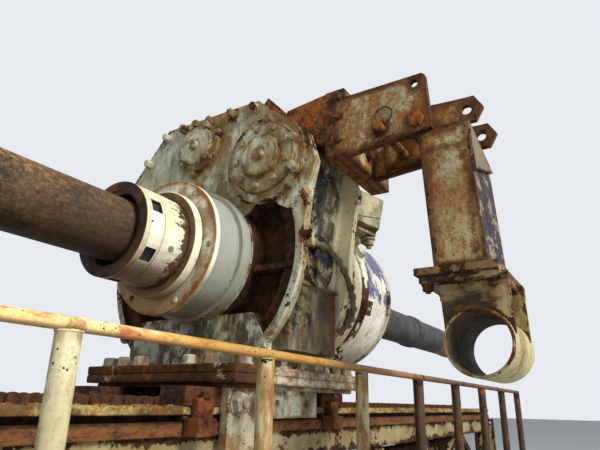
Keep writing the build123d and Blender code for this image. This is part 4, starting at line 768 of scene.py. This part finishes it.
def skin(node, look, width=None, cell=0.03, marks=()):
    """Rounded copy of a CAD node in a finish; it stands for the node.

    Its mesh keeps how near each point lies to a sharp edge, and where dirt runs down from the marks.
    """
    mesh = frame["nodes"][node].data.copy()
    mesh.materials.clear()
    bm = bmesh.new()
    bm.from_mesh(mesh)
    bmesh.ops.remove_doubles(bm, verts=bm.verts, dist=2e-5)
    bmesh.ops.dissolve_degenerate(bm, edges=bm.edges, dist=1e-5)
    bmesh.ops.dissolve_limit(bm, angle_limit=math.radians(0.6), verts=bm.verts, edges=bm.edges)
    for face in bm.faces:
        face.smooth, face.material_index = True, 0
    corners = sharp_points(bm)
    bm.to_mesh(mesh)
    bm.free()
    for layer in list(mesh.uv_layers):
        mesh.uv_layers.remove(layer)
    obj = linked(node + "_raw", mesh)
    mesh.materials.append(finish(look))
    bevel = obj.modifiers.new("Rounded edges", "BEVEL")
    bevel.width, bevel.segments = width or settings().edge_round, 2
    bevel.limit_method, bevel.angle_limit, bevel.use_clamp_overlap = "ANGLE", SHARP, True
    obj = plain(obj, node + "_cut")
    wear_map(obj.data, corners, cell, marks)
    obj.data.set_sharp_from_angle(angle=math.radians(60))
    obj.modifiers.new("Even shading", "WEIGHTED_NORMAL").keep_sharp = True
    piece = settled(plain(obj, node + "_skin"), node)
    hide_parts(node)


def dress(look, *nodes, **shape):
    """Skins nodes with the finish of that name."""
    for node in nodes:
        skin(node, look, **shape)


def sharp_points(bm):
    """Points every few millimetres along the sharp edges, ready for a nearest search."""
    spots = []
    for edge in bm.edges:
        if len(edge.link_faces) == 2 and edge.calc_face_angle(0.0) > SHARP:
            one, two = (v.co for v in edge.verts)
            steps = max(1, int((two - one).length / 0.01))
            spots += [one.lerp(two, k / steps) for k in range(steps + 1)]
    spots = spots or [Vector((0, 0, 1e3))]
    search = KDTree(len(spots))
    for index, spot in enumerate(spots):
        search.insert(spot, index)
    search.balance()
    return search


def wear_map(mesh, corners, cell, marks):
    """Cuts the mesh into cells and keeps the nearness of a sharp edge and the run-off below marks on its points."""
    bm = bmesh.new()
    bm.from_mesh(mesh)
    for axis in range(3):
        values = [v.co[axis] for v in bm.verts]
        low, high = min(values), max(values)
        count = int((high - low) / cell)
        cut_up(bm, list(bm.faces), axis, [low + (high - low) * k / (count + 1) for k in range(1, count + 1)])
    near, drip = bm.verts.layers.float.new("near"), bm.verts.layers.float.new("drip")
    for vert in bm.verts:
        vert[near] = FAR - min(FAR, corners.find(vert.co)[2])
        vert[drip] = max((run_off(vert.co, mark) for mark in marks), default=0.0)
    bm.to_mesh(mesh)
    bm.free()


def cut_up(bm, faces, axis, places):
    """Cuts faces by planes across an axis, the middle one first and then each half."""
    if not places or not faces:
        return
    middle = len(places) // 2
    place = places[middle]
    way = Vector([float(k == axis) for k in range(3)])
    geometry = set(faces)
    for face in faces:
        geometry.update(face.edges, face.verts)
    result = bmesh.ops.bisect_plane(bm, geom=list(geometry), dist=1e-6, plane_co=way * place, plane_no=way)
    halves = [], []
    for item in result["geom"]:
        if isinstance(item, bmesh.types.BMFace):
            halves[item.calc_center_median()[axis] > place].append(item)
    cut_up(bm, halves[0], axis, places[:middle])
    cut_up(bm, halves[1], axis, places[middle + 1 :])


def run_off(point, mark):
    """How much of a mark's rust reaches a point: round the mark and down from it."""
    x, y, z = (point[k] - mark[k] for k in range(3))
    if abs(x) > 0.07 or abs(y) > 0.08 or z > 0.05 or z < -0.45:
        return 0.0
    width = 0.022 + max(0.0, -z) * 0.05
    return math.exp(-(y * y) / (2 * width * width)) * math.exp(-max(0.0, -z) / 0.13) * math.exp(-max(0.0, z) / 0.015)


def tube(name, points, radius, node, look, cyclic=False):
    """A bent round bar along points."""
    curve = bpy.data.curves.new(name, "CURVE")
    curve.dimensions, curve.bevel_depth, curve.bevel_resolution = "3D", radius, 4
    curve.use_fill_caps = True
    spline = curve.splines.new("NURBS")
    spline.points.add(len(points) - 1)
    for spot, point in zip(spline.points, points):
        spot.co = (*point, 1.0)
    spline.order_u, spline.use_cyclic_u, spline.use_endpoint_u = 3, cyclic, not cyclic
    spline.resolution_u = 6
    piece = plain(linked(name + "_line", curve), name)
    bm = bmesh.new()
    bm.from_mesh(piece.data)
    bmesh.ops.remove_doubles(bm, verts=bm.verts, dist=1e-5)
    bmesh.ops.recalc_face_normals(bm, faces=bm.faces)
    bm.to_mesh(piece.data)
    bm.free()
    piece.data.materials.append(finish(look))
    piece.data.shade_smooth()
    return settled(piece, node)


def points_mesh(name, points, edges=(), faces=(), **vectors):
    """A mesh of points with vector attributes."""
    mesh = bpy.data.meshes.new(name)
    mesh.from_pydata([tuple(p) for p in points], edges, faces)
    for label, values in vectors.items():
        layer = mesh.attributes.new(label, "FLOAT_VECTOR", "POINT")
        layer.data.foreach_set("vector", [c for v in values for c in v])
    return mesh


def round_points(x, y, z, radius, count, first=0.0):
    """Points round an axis along X."""
    turns = (2 * math.pi * k / count + math.radians(first) for k in range(count))
    return [(x, y + radius * math.sin(a), z + radius * math.cos(a)) for a in turns]


# Geometry Nodes


class Tree(Nodes):
    """A Geometry Nodes tree with named inputs, whose last steps realise the instances and set their finish."""

    def __init__(self, name, **sizes):
        super().__init__(bpy.data.node_groups.new(name, "GeometryNodeTree"))
        self.keys = {}
        kinds = {key: "Int" if isinstance(value, int) else "Float" for key, value in sizes.items()}
        face = self.tree.interface
        for key, kind in {"geometry": "Geometry", **kinds, "finish": "Material"}.items():
            label = key.replace("_", " ").capitalize()
            item = face.new_socket(label, in_out="INPUT", socket_type="NodeSocket" + kind)
            self.keys[key] = item.identifier
            if key in sizes:
                item.default_value = sizes[key]
        face.new_socket("Geometry", in_out="OUTPUT", socket_type="NodeSocketGeometry")
        self.start = self.tree.nodes.new("NodeGroupInput")

    def given(self, *keys):
        """Wires from the tree's inputs."""
        order = list(self.keys)
        return [Wire(self, self.start.outputs[order.index(key)]) for key in keys]

    def moved(self, shape, x=0.0, y=0.0, z=0.0):
        return self.add("GeometryNodeTransform", {0: shape, 1: self.vector(x, y, z)})

    def cylinder(self, sides, radius, depth):
        return self.add("GeometryNodeMeshCylinder", {0: sides, 3: radius, 4: depth})

    def drop(self, radius):
        return self.add("GeometryNodeMeshIcoSphere", {0: radius, 1: 1})

    def join(self, *shapes):
        return self.add("GeometryNodeJoinGeometry", {0: list(shapes)})

    def points(self):
        """The points of the mesh that the tree runs on."""
        return self.add("GeometryNodeMeshToPoints", {0: self.given("geometry")[0]})

    def attribute(self, name):
        return self.add("GeometryNodeInputNamedAttribute", {0: name}, data_type="FLOAT_VECTOR")

    def chance(self, low, high, salt):
        """A random number per point, from the tree's seed."""
        seed = self.given("seed")[0] + salt
        return self.add("FunctionNodeRandomValue", {2: low, 3: high, 8: seed}, 1, data_type="FLOAT")

    def turn(self, axis, angle):
        return self.add("FunctionNodeAxisAngleToRotation", {0: axis, 1: angle})

    def axes(self, primary, secondary, first, second):
        """A rotation that brings two axes into line with two directions."""
        return self.add("FunctionNodeAxesToRotation", {0: first, 1: second}, primary_axis=primary,
                        secondary_axis=secondary)

    def put(self, points, shape, turn, size=None):
        """Instances of a shape on points."""
        return self.add("GeometryNodeInstanceOnPoints", {0: points, 2: shape, 5: turn, 6: size})

    def finish(self, geometry):
        solid = self.add("GeometryNodeRealizeInstances", {0: geometry})
        dressed = self.add("GeometryNodeSetMaterial", {0: solid, 2: self.given("finish")[0]})
        self.add("NodeGroupOutput", {0: dressed})
        return self

    def run(self, name, mesh, node, look, **values):
        """Runs the tree on a mesh and keeps the result as a plain piece that rides with a node."""
        obj = linked(name + "_points", mesh)
        modifier = obj.modifiers.new("Repeat", "NODES")
        modifier.node_group = self.tree
        for key, value in {**values, "finish": finish(look)}.items():
            modifier[self.keys[key]] = value
        return settled(plain(obj, name), node)


@cache
def bolt_tree():
    """Hexagon heads on washers, with an optional stud end, turned at random about their own axes."""
    t = Tree("Hexagon bolts", width=0.046, height=0.02, washer=0.004, stud=0.0, seed=1)
    width, height, washer, stud = t.given("width", "height", "washer", "stud")
    corner, shank = width * HEX, height * 0.82
    crown = t.add("GeometryNodeMeshCone", {0: 6, 3: corner * 0.82, 4: corner, 5: height * 0.18})
    bolt = t.join(
        t.moved(t.cylinder(6, corner, shank), z=washer + shank * 0.5),
        t.moved(crown, z=washer + shank),
        t.moved(t.cylinder(16, corner * 1.16, washer), z=washer * 0.5),
        t.moved(t.cylinder(10, width * 0.28, stud), z=washer + (height - 0.0006) + stud * 0.5),
    )
    facing = t.add("FunctionNodeAlignRotationToVector", {2: t.attribute("facing")}, axis="Z")
    spin = t.turn(UP, t.chance(0.0, 6.28, 3))
    turned = t.add("FunctionNodeRotateRotation", {0: facing, 1: spin}, rotation_space="LOCAL")
    return t.finish(t.put(t.points(), bolt, turned, t.chance(0.94, 1.05, 5)))


@cache
def weld_tree():
    """A weld bead: overlapping drops along the edges of a mesh."""
    t = Tree("Weld bead", radius=0.005, step=0.006, seed=1)
    edges, radius, step = t.given("geometry", "radius", "step")
    line = t.add("GeometryNodeMeshToCurve", {0: edges})
    spots = t.add("GeometryNodeCurveToPoints", {0: line, 2: step}, mode="LENGTH")
    return t.finish(t.put(spots, t.drop(radius), None, t.chance(0.8, 1.15, 2)))


@cache
def crust_tree():
    """Flakes of rust scattered over the faces of a mesh."""
    t = Tree("Rust crust", flake=0.005, density=3000.0, seed=1)
    faces, flake, density, seed = t.given("geometry", "flake", "density", "seed")
    spots = t.add("GeometryNodeDistributePointsOnFaces", {0: faces, "Density": density, "Seed": seed},
                  distribute_method="RANDOM")
    size = t.vector(t.chance(0.6, 2.2, 2), t.chance(0.5, 1.4, 3), t.chance(0.3, 1.0, 4))
    return t.finish(t.put(spots, t.drop(flake), t.turn((0.2, 0.3, 1), t.chance(0.0, 6.28, 6)), size))


@cache
def chain_tree():
    """Roller chain links on points, with plates, roller and pin."""
    sizes = {"pitch": 0.0635, "plate_radius": 0.022, "plate": 0.009, "inner": 0.038, "roller_radius": 0.0198,
             "pin_radius": 0.0095}
    t = Tree("Chain links", **sizes, seed=1)
    pitch, radius, plate, inner, roller_radius, pin_radius = t.given(*sizes)
    flat = t.add("FunctionNodeEulerToRotation", {0: (math.pi / 2, 0, 0)})

    def disc(sides, radius, depth):
        return t.add("GeometryNodeTransform", {0: t.cylinder(sides, radius, depth), 2: flat})

    web = t.add("GeometryNodeMeshCube", {0: t.vector(pitch, plate, radius * 1.5)})
    end = disc(12, radius, plate)
    one = t.join(web, t.moved(end, pitch * 0.5), t.moved(end, pitch * -0.5))
    side = (inner + plate) * 0.5
    pair = t.join(t.moved(one, y=side), t.moved(one, y=side * -1.0))
    middle = t.join(t.moved(disc(14, roller_radius, inner), pitch * 0.5),
                    t.moved(disc(10, pin_radius, inner + plate * 4.6), pitch * 0.5))
    turned, points = t.axes("X", "Y", t.attribute("along"), (0.0, 1.0, 0.0)), t.points()
    return t.finish(t.join(t.put(points, pair, turned, t.attribute("spread")), t.put(points, middle, turned)))


@cache
def tread_tree():
    """Raised lozenges on points, each turned by its own vector."""
    t = Tree("Tread lozenges", length=0.03, width=0.008, height=0.0025, seed=1)
    size = t.vector(*t.given("length", "width", "height"))
    bar = t.add("GeometryNodeTransform", {0: t.cylinder(8, 0.5, 2.0), 3: size})
    return t.finish(t.put(t.points(), bar, t.axes("Z", "X", UP, t.attribute("along"))))


def seated(node, spots, way):
    """Spots moved along a way onto the surface of a CAD node; those beside it are left out."""
    mesh = frame["nodes"][node].data
    surface = BVHTree.FromPolygons([v.co for v in mesh.vertices], [p.vertices for p in mesh.polygons])
    hits = (surface.ray_cast(Vector(spot) - way * 0.12, way, 0.24)[0] for spot in spots)
    return [tuple(hit) for hit in hits if hit]


def bolts(name, node, spots, facing, look, salt, width, height, washer=0.004, stud=0.0, seat=True):
    """Hexagon heads seated on a node at points in metres, all facing one way; salt makes their turns their own."""
    if seat:
        spots = seated(node, spots, -Vector(facing))
    mesh = points_mesh(name, spots, facing=[facing] * len(spots))
    bolt_tree().run(name, mesh, node, look, width=width, height=height, washer=washer, stud=stud,
                    seed=settings().seed + salt)


def weld(name, node, lines, look, radius):
    """Weld beads along polylines."""
    points, edges = [], []
    for line in lines:
        edges += [(len(points) + k, len(points) + k + 1) for k in range(len(line) - 1)]
        points += line
    weld_tree().run(name, points_mesh(name, points, edges), node, look, radius=radius, step=radius * 1.1)


# The panel's values


def paint(name, description, default):
    return FloatVectorProperty(name=name, description=description, subtype="COLOR", min=0, max=1, default=default)


def across(name, description, default):
    return FloatProperty(name=name, description=description, default=default, min=0.01, max=0.1, unit="LENGTH")


class DrillColours(bpy.types.PropertyGroup):
    """Colours of the paints, steels and stage."""

    housing: paint("Gear housing", "Paint of the gear housing", ink("d0d3ba"))
    housing_faded: paint("Gear housing, faded", "Faded paint of the housing", ink("a9ae93"))
    boss: paint("Boss and drum", "Paint of the boss, neck and drum", ink("d9dccb"))
    boss_faded: paint("Boss, faded", "Faded paint of the boss", ink("bfc7b8"))
    chuck: paint("Chuck", "Paint of the chuck sleeve", ink("f2edda"))
    arm: paint("Side arm", "Paint of the side arm", ink("b6b190"))
    arm_faded: paint("Side arm, faded", "Faded paint of the side arm", ink("99906a"))
    ring: paint("Pipe ring", "Paint of the pipe ring", ink("bdb48a"))
    rail: paint("Handrail", "Paint of the handrail tube", ink("f3d596"))
    post: paint("Handrail posts", "Paint of the handrail posts", ink("d8d0ab"))
    plate: paint("Plates", "Paint of the base plates and cheeks", ink("c6c3b0"))
    patch: paint("Drum patches", "Blue paint left on the drum", ink("42476c"))
    floor: paint("Floor", "Colour of the floor and backdrop", (0.80, 0.83, 0.87))


class DrillSizes(bpy.types.PropertyGroup):
    """Sizes of edges, fasteners and light."""

    edge_round: FloatProperty(name="Edge rounding", description="Width of the rounded edges", default=0.004,
                              min=0.0, max=0.02, unit="LENGTH")
    plate_bolt: across("Housing bolts", "Width across flats of the housing's bolts", 0.033)
    cover_bolt: across("Cover bolts", "Width across flats of the covers' bolts", 0.023)
    seed: IntProperty(name="Seed", description="Seed of everything that is scattered", default=4, min=1)
    key_power: FloatProperty(name="Key light", description="Power of the large soft light", default=2080.0, min=0.0)
    fill: FloatProperty(name="Fill", description="Strength of the surrounding light", default=0.52, min=0.0)


# The stage and the groups of pieces


class DRILL_OT_stage(bpy.types.Operator):
    """Adds the camera, the pale floor and the soft light"""

    bl_idname = "drill.stage"
    bl_label = "Stage, camera and light"

    def execute(self, context):
        scene = context.scene
        scene.view_settings.view_transform = "Standard"
        self.camera(scene)
        self.floor()
        self.light(scene)
        return {"FINISHED"}

    def camera(self, scene):
        """The camera where the photo was taken from: 30.72 mm on a 36 mm frame."""
        camera = bpy.data.cameras.new("Camera")
        camera.sensor_fit, camera.sensor_width, camera.lens = "HORIZONTAL", 36.0, 30.72
        camera.clip_start, camera.clip_end = 0.05, 200.0
        pitch, heading, roll = math.radians(19.258), math.radians(32.063), math.radians(1.147)
        scene.camera = linked("Camera", camera)
        scene.camera.matrix_world = (
            Matrix.Translation((-2.65, -1.3995, 1.0459)) @ Matrix.Rotation(heading - math.pi / 2, 4, "Z")
            @ Matrix.Rotation(math.pi / 2 + pitch, 4, "X") @ Matrix.Rotation(roll, 4, "Z")
        )

    def floor(self):
        reach, low = 60.0, CAD_BOX[0][2] - 0.0005
        corners = [(x * reach, y * reach, low) for x, y in ((-1, -1), (1, -1), (1, 1), (-1, 1))]
        mesh = points_mesh("floor", corners, faces=[(0, 1, 2, 3)])
        f = Finish("floor")
        base = darker(shade("floor"), 0.6)
        colour = f.mix(f.noise(0.6, 3).rise(0.3, 0.7) * 0.25, base, darker(base, 0.97))
        mesh.materials.append(f.done(colour, 0.85 + f.noise(3) * 0.1, f.noise(60), 0.0003))
        linked("floor", mesh)

    def light(self, scene):
        """Soft light all round, a backdrop for camera, glossy and transmission rays, and two large lamps."""
        scene.world = bpy.data.worlds.new("Studio")
        scene.world.use_nodes = True
        air = Nodes(scene.world.node_tree)
        rays = air.add("ShaderNodeLightPath").socket.node.outputs
        camera, glossy, clear = (Wire(air, rays[f"Is {kind} Ray"]) for kind in ("Camera", "Glossy", "Transmission"))
        backdrop = air.add("ShaderNodeBackground", {"Color": shade("floor")})
        power, fill = settings().key_power, settings().fill
        fill = air.add("ShaderNodeBackground", {"Color": (0.93, 0.97, 1.0), "Strength": fill})
        mixed = air.add("ShaderNodeMixShader", {0: camera.most(glossy.most(clear)), 1: fill, 2: backdrop})
        air.add("ShaderNodeOutputWorld", {"Surface": mixed})
        self.lamp("Key", (-3.3, -10.6, 8.3), (-0.9, -0.2, 1.5), 4.8, power, (1.0, 0.965, 0.9))
        self.lamp("Rear fill", (4.5, 4.5, 4.0), (0.0, 0.0, 1.2), 4.0, power * 0.1, (0.95, 0.98, 1.0))

    def lamp(self, name, place, target, size, power, colour):
        data = bpy.data.lights.new(name, "AREA")
        data.shape, data.size, data.energy, data.color = "DISK", size, power, colour
        way = Vector(target) - Vector(place)
        linked(name, data).matrix_world = Matrix.Translation(place) @ way.to_track_quat("-Z", "Y").to_matrix().to_4x4()


class DRILL_OT_housing(bpy.types.Operator):
    """Dresses the gear housing, its boss and covers, with their bolts"""

    bl_idname = "drill.housing"
    bl_label = "Gear housing"

    def execute(self, context):
        sizes = settings()
        rim, small = self.on_face(PERIMETER + EDGE), self.on_face(AROUND_SMALL)
        marks = rim + small + round_points(FACE_X, *BIG_COVER, 0.16, 10)
        dress("housing paint", "front_housing", "rear_housing", marks=marks)
        dress("boss ring paint", "front_boss")
        dress("cover paint", "big_pinion_cover", "small_pinion_cover", width=0.003, cell=0.02)
        bolts("housing_bolts", "front_housing", rim, BACK, "painted bolt", 0, sizes.plate_bolt, 0.026, 0.005)
        rear = [(BACK_X, y * 0.97, ROD_Z + (z - 0.012) * 0.985) for y, z in PERIMETER]
        rear += [(BACK_X, side * 0.49, ROD_Z + z) for side in (-1, 1) for z in (0.27, 0.12, -0.03)]
        bolts("rear_housing_bolts", "rear_housing", rear, AHEAD, "painted bolt", 1, sizes.plate_bolt, 0.024)
        bolts("small_cover_bolts", "front_housing", small, BACK, "painted bolt", 2, sizes.cover_bolt * 1.15, 0.022)
        ring = round_points(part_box("big_pinion_cover")[0].x, *BIG_COVER, 0.122, 9, 12.0)
        bolts("big_cover_bolts", "big_pinion_cover", ring, BACK, "cover bolt", 3, sizes.cover_bolt, 0.012, 0.002)
        plugs = round_points(RING_X, *ROD_AXIS, 0.229, 6, 24.0)
        bolts("boss_ring_screws", "front_boss", plugs, BACK, "cover bolt", 4, 0.017, 0.003, 0.001, seat=False)
        seam = round_points(FACE_X - 0.02, *BIG_COVER, 0.1515, 48)
        weld("cover_seam", "front_housing", [seam + seam[:1]], "cover paint", 0.003)
        return {"FINISHED"}

    def on_face(self, spots):
        return [(FACE_X, y, ROD_Z + z) for y, z in spots]


class DRILL_OT_chuck(bpy.types.Operator):
    """Dresses the chuck, the drill rod and the spindle"""

    bl_idname = "drill.chuck"
    bl_label = "Chuck and rod"

    def execute(self, context):
        dress("chuck paint", "chuck_sleeve", width=0.003)
        dress("collar paint", "chuck_collar", width=0.004)
        dress("bore steel", "spindle_tube", "chuck_jaws", width=0.002)
        dress("rod steel", "drill_rod", width=0.004)
        return {"FINISHED"}


class DRILL_OT_swivel(bpy.types.Operator):
    """Dresses the neck, the swivel drum, the motor and the lubrication gear"""

    bl_idname = "drill.swivel"
    bl_label = "Swivel, motor and lubrication"

    def execute(self, context):
        dress("boss paint", "rear_neck")
        dress("drum paint", "swivel_drum")
        dress("clamp paint", "drum_clamp", width=0.003)
        dress("motor paint", "drive_motor", "port_block", width=0.004, cell=0.02)
        dress("pump paint", "lube_pump", width=0.003)
        dress("box paint", "lube_box", width=0.003)
        self.pipe()
        ring = round_points(DRUM_BACK_X, *ROD_AXIS, 0.30, 16, 6.0)
        bolts("drum_bolts", "swivel_drum", ring, AHEAD, "painted bolt", 6, 0.036, 0.02, seat=False)
        low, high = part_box("drive_motor")
        ports = [(high.x - 0.05 - 0.09 * k, low.y + 0.06, low.z) for k in range(3)]
        bolts("motor_ports", "drive_motor", ports, DOWN, "painted bolt", 5, 0.044, 0.026, 0.008, 0.014)
        return {"FINISHED"}

    def pipe(self):
        """The lubrication pipe: one smooth line, with two union nuts on each of its straights."""
        points = [Vector((FACE_X + along / 1000, PIPE_Y + out / 1000, ROD_Z + up / 1000)) for along, out, up in PIPE]
        piece = tube("lube_pipe_run", points, 0.011, "lube_pipe", "pipe paint")
        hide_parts("lube_pipe")
        for k, (one, two) in enumerate(zip(points, points[1:])):
            way = (two - one).normalized()
            for number, shift in enumerate((-0.02, 0.025)):
                spot = (one + two) / 2 + way * shift
                nut = [spot - way * 0.008, spot, spot + way * 0.008]
                tube(f"pipe_union_{k}_{number}", nut, 0.0155, "lube_pipe", "pipe paint")


class DRILL_OT_carriage(bpy.types.Operator):
    """Dresses the foot plates, the cheeks and the guide shoes, with their bolts"""

    bl_idname = "drill.carriage"
    bl_label = "Carriage"

    def execute(self, context):
        dress("plate paint", "head_foot_plate", "carriage_plate", "carriage_underplate", width=0.005)
        for side in ("left", "right"):
            dress("cheek paint", "carriage_cheek_" + side, width=0.004)
            dress("shoe rust", "guide_shoes_" + side, width=0.005)
        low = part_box("head_foot_plate")[0]
        spots = [(low.x + 0.09 + 0.105 * k, side * 0.325, FOOT_TOP) for side in (-1, 1) for k in range(8)]
        spots += [(low.x + 0.045, y, FOOT_TOP) for y in (0.29, 0.21, 0.12, -0.12, -0.21)]
        bolts("foot_bolts", "head_foot_plate", spots, UP, "foot bolt", 8, 0.044, 0.028, 0.006)
        for side, name in ((-1, "carriage_cheek_right"), (1, "carriage_cheek_left")):
            nuts = [(x, side * 0.305, 1.045) for x in (-1.265, -1.178)]
            facing = (0.0, float(side), 0.0)
            bolts(name + "_nuts", name, nuts, facing, "cheek bolt", 9 + side, 0.06, 0.028, 0.006, 0.008)
        under = [(x, side * 0.317, 1.091) for side in (-1, 1) for x in (-1.12, -0.98, -0.86, -0.62)]
        bolts("underplate_bolts", "carriage_underplate", under, DOWN, "painted bolt", 11, 0.024, 0.014, 0.003)
        for side, y in (("left", 0.30), ("right", -0.30)):
            name = "guide_shoes_" + side
            bolts(name + "_bolts", name, [(x, y, 1.0) for x in (-1.45, -1.41)], UP, "steel bolt", 20, 0.024, 0.016)
        return {"FINISHED"}


class DRILL_OT_arm(bpy.types.Operator):
    """Dresses the side arm, its clevis, pins, post and pipe ring"""

    bl_idname = "drill.arm"
    bl_label = "Side arm and pipe ring"

    def execute(self, context):
        dress("bracket paint", "arm_bracket")
        dress("arm paint", "arm_clevis", cell=0.02)
        dress("arm plate paint", "arm_plates", cell=0.02)
        dress("pin rust", "arm_pins", width=0.003)
        dress("post paint", "arm_post", cell=0.02)
        dress("ring bracket paint", "ring_bracket", cell=0.02)
        dress("ring paint", "pipe_ring", width=0.002, cell=0.02)
        strip = [(-1.120, -0.606, ROD_Z + z) for z in (0.585, 0.50, 0.40)]
        bolts("clevis_strip_bolts", "arm_clevis", strip, BACK, "arm bolt", 12, 0.026, 0.016)
        flange = [(x, -0.630, ROD_Z + z) for x in (-1.05, -0.91) for z in (0.56, 0.42)]
        bolts("clevis_flange_bolts", "arm_clevis", flange, (0.0, -1.0, 0.0), "arm bolt", 13, 0.036, 0.02)
        corners = [(x, y, 1.42) for x in (-1.065, -0.88, -0.70) for y in (-1.095, -0.895)]
        bolts("flange_nuts", "ring_bracket", corners, DOWN, "arm bolt", 14, 0.03, 0.018, stud=0.006)
        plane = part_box("arm_clevis")[0].x - 0.004
        for number, (y, z, radius, out) in enumerate(((-0.790, 2.040, 0.034, 0.0), (-0.778, 1.987, 0.027, 0.006))):
            ring = round_points(plane - out, y, z, radius, 10)
            tube(f"split_ring_{number}", ring, 0.0024, "arm_pins", "wire", cyclic=True)
        return {"FINISHED"}


class DRILL_OT_leader(bpy.types.Operator):
    """Dresses the leader, its rails, chain, sprockets and beams"""

    bl_idname = "drill.leader"
    bl_label = "Leader, rails and chain"

    def execute(self, context):
        dress("leader paint", "leader_side_left", "leader_side_right", "leader_ties", "leader_end_front",
              "leader_end_rear", width=0.003)
        dress("beam paint", "skid_beam_front", "skid_beam_middle", "skid_beam_rear", width=0.003)
        dress("rail rust", "guide_rail_left", "guide_rail_right", width=0.003)
        dress("tray rust", "chain_tray", width=0.002)
        dress("sprocket rust", "sprocket_front", "sprocket_rear", width=0.002)
        self.chain()
        self.crust()
        return {"FINISHED"}

    def chain(self):
        """Links along the loop: the upper run and the turn at its end, then the same the other way round."""
        low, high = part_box("sprocket_rear")
        wheel_x, wheel_z, radius, count = (high.x + low.x) / 2, (high.z + low.z) / 2, 0.1327, 144
        straight = 2 * wheel_x
        half = straight + math.pi * radius
        points, along, spread = [], [], []
        for k in range(count):
            lap, way = divmod(2 * half * k / count, half)
            sign, angle = 1 - 2 * lap, max(0.0, way - straight) / radius
            x = min(way, straight) - wheel_x + radius * math.sin(angle)
            points.append((sign * x, 0.0, wheel_z + sign * radius * math.cos(angle)))
            along.append((sign * math.cos(angle), 0.0, -sign * math.sin(angle)))
            spread.append((1.0, 1.0 if k % 2 else 1.38, 1.0))
        mesh = points_mesh("chain_points", points, along=along, spread=spread)
        piece = chain_tree().run("feed_chain_links", mesh, "feed_chain", "chain rust", pitch=2 * half / count)
        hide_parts("feed_chain")

    def crust(self):
        """Flakes of rust on the inner ledge of both rails."""
        points, faces = [], []
        for side in (-1, 1):
            low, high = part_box("guide_rail_right" if side < 0 else "guide_rail_left")
            y0, y1 = sorted((side * 0.268, side * 0.24))
            faces.append([len(points) + k for k in range(4)])
            points += [(x, y, high.z) for x, y in ((low.x, y0), (high.x, y0), (high.x, y1), (low.x, y1))]
        mesh = points_mesh("ledge", points, faces=faces)
        crust_tree().run("rail_crust", mesh, "guide_rail_right", "crust", flake=0.0045, density=10000.0,
                         seed=settings().seed)


class DRILL_OT_handrail(bpy.types.Operator):
    """Dresses the handrail and the walkway"""

    bl_idname = "drill.handrail"
    bl_label = "Handrail and walkway"

    def execute(self, context):
        dress("post rail paint", "handrail_posts", width=0.002)
        dress("tube paint", "handrail_tube", width=0.002)
        dress("walkway paint", "walkway", width=0.002)
        self.tread()
        self.welds()
        return {"FINISHED"}

    def tread(self):
        low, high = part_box("walkway")
        points, along = [], []
        for row in range(7):
            for column in range(int((high.x - low.x) / 0.042)):
                points.append((low.x + 0.03 + column * 0.042, -0.575 + row * 0.044, 0.306))
                along.append((1.0, 1.0 if (row + column) % 2 else -1.0, 0.0))
        mesh = points_mesh("tread", points, along=along)
        tread_tree().run("walkway_tread", mesh, "walkway", "walkway paint", length=0.032, width=0.009, height=0.0025)

    def welds(self):
        """Beads round the top and the foot of each post."""
        turns = [2 * math.pi * k / 16 for k in range(17)]
        lines = [[(FIRST_POST_X + POST_PITCH * k + radius * math.cos(a), HANDRAIL_Y + radius * math.sin(a), z)
                  for a in turns] for k in range(POSTS) for z, radius in ((1.163, 0.0243), (0.318, 0.0248))]
        weld("post_welds", "handrail_posts", lines, "post rail paint", 0.0028)


class DRILL_PT_panel(bpy.types.Panel):
    """Lists the pieces and their sizes in the sidebar"""

    bl_idname = "DRILL_PT_panel"
    bl_label = "Rotary drilling head"
    bl_space_type = "VIEW_3D"
    bl_region_type = "UI"
    bl_category = "Drilling Head"

    def draw(self, context):
        column = self.layout.column(align=True)
        for operator in OPERATORS:
            column.operator(operator.bl_idname)
        for group in (context.scene.drill_sizes, context.scene.drill_colours):
            box = self.layout.box()
            for name in group.bl_rna.properties.keys():
                if name not in ("rna_type", "name"):
                    box.prop(group, name)


OPERATORS = (DRILL_OT_stage, DRILL_OT_housing, DRILL_OT_chuck, DRILL_OT_swivel, DRILL_OT_carriage, DRILL_OT_arm,
             DRILL_OT_leader, DRILL_OT_handrail)
CLASSES = (DrillColours, DrillSizes) + OPERATORS + (DRILL_PT_panel,)


def register():
    for item in CLASSES:
        bpy.utils.register_class(item)
    bpy.types.Scene.drill_colours = PointerProperty(type=DrillColours)
    bpy.types.Scene.drill_sizes = PointerProperty(type=DrillSizes)


def unregister():
    del bpy.types.Scene.drill_sizes
    del bpy.types.Scene.drill_colours
    for item in reversed(CLASSES):
        bpy.utils.unregister_class(item)


def main():
    """Builds every piece in order."""
    register()
    for operator in OPERATORS:
        group, name = operator.bl_idname.split(".")
        getattr(getattr(bpy.ops, group), name)()


if __name__ == "__main__":
    main()
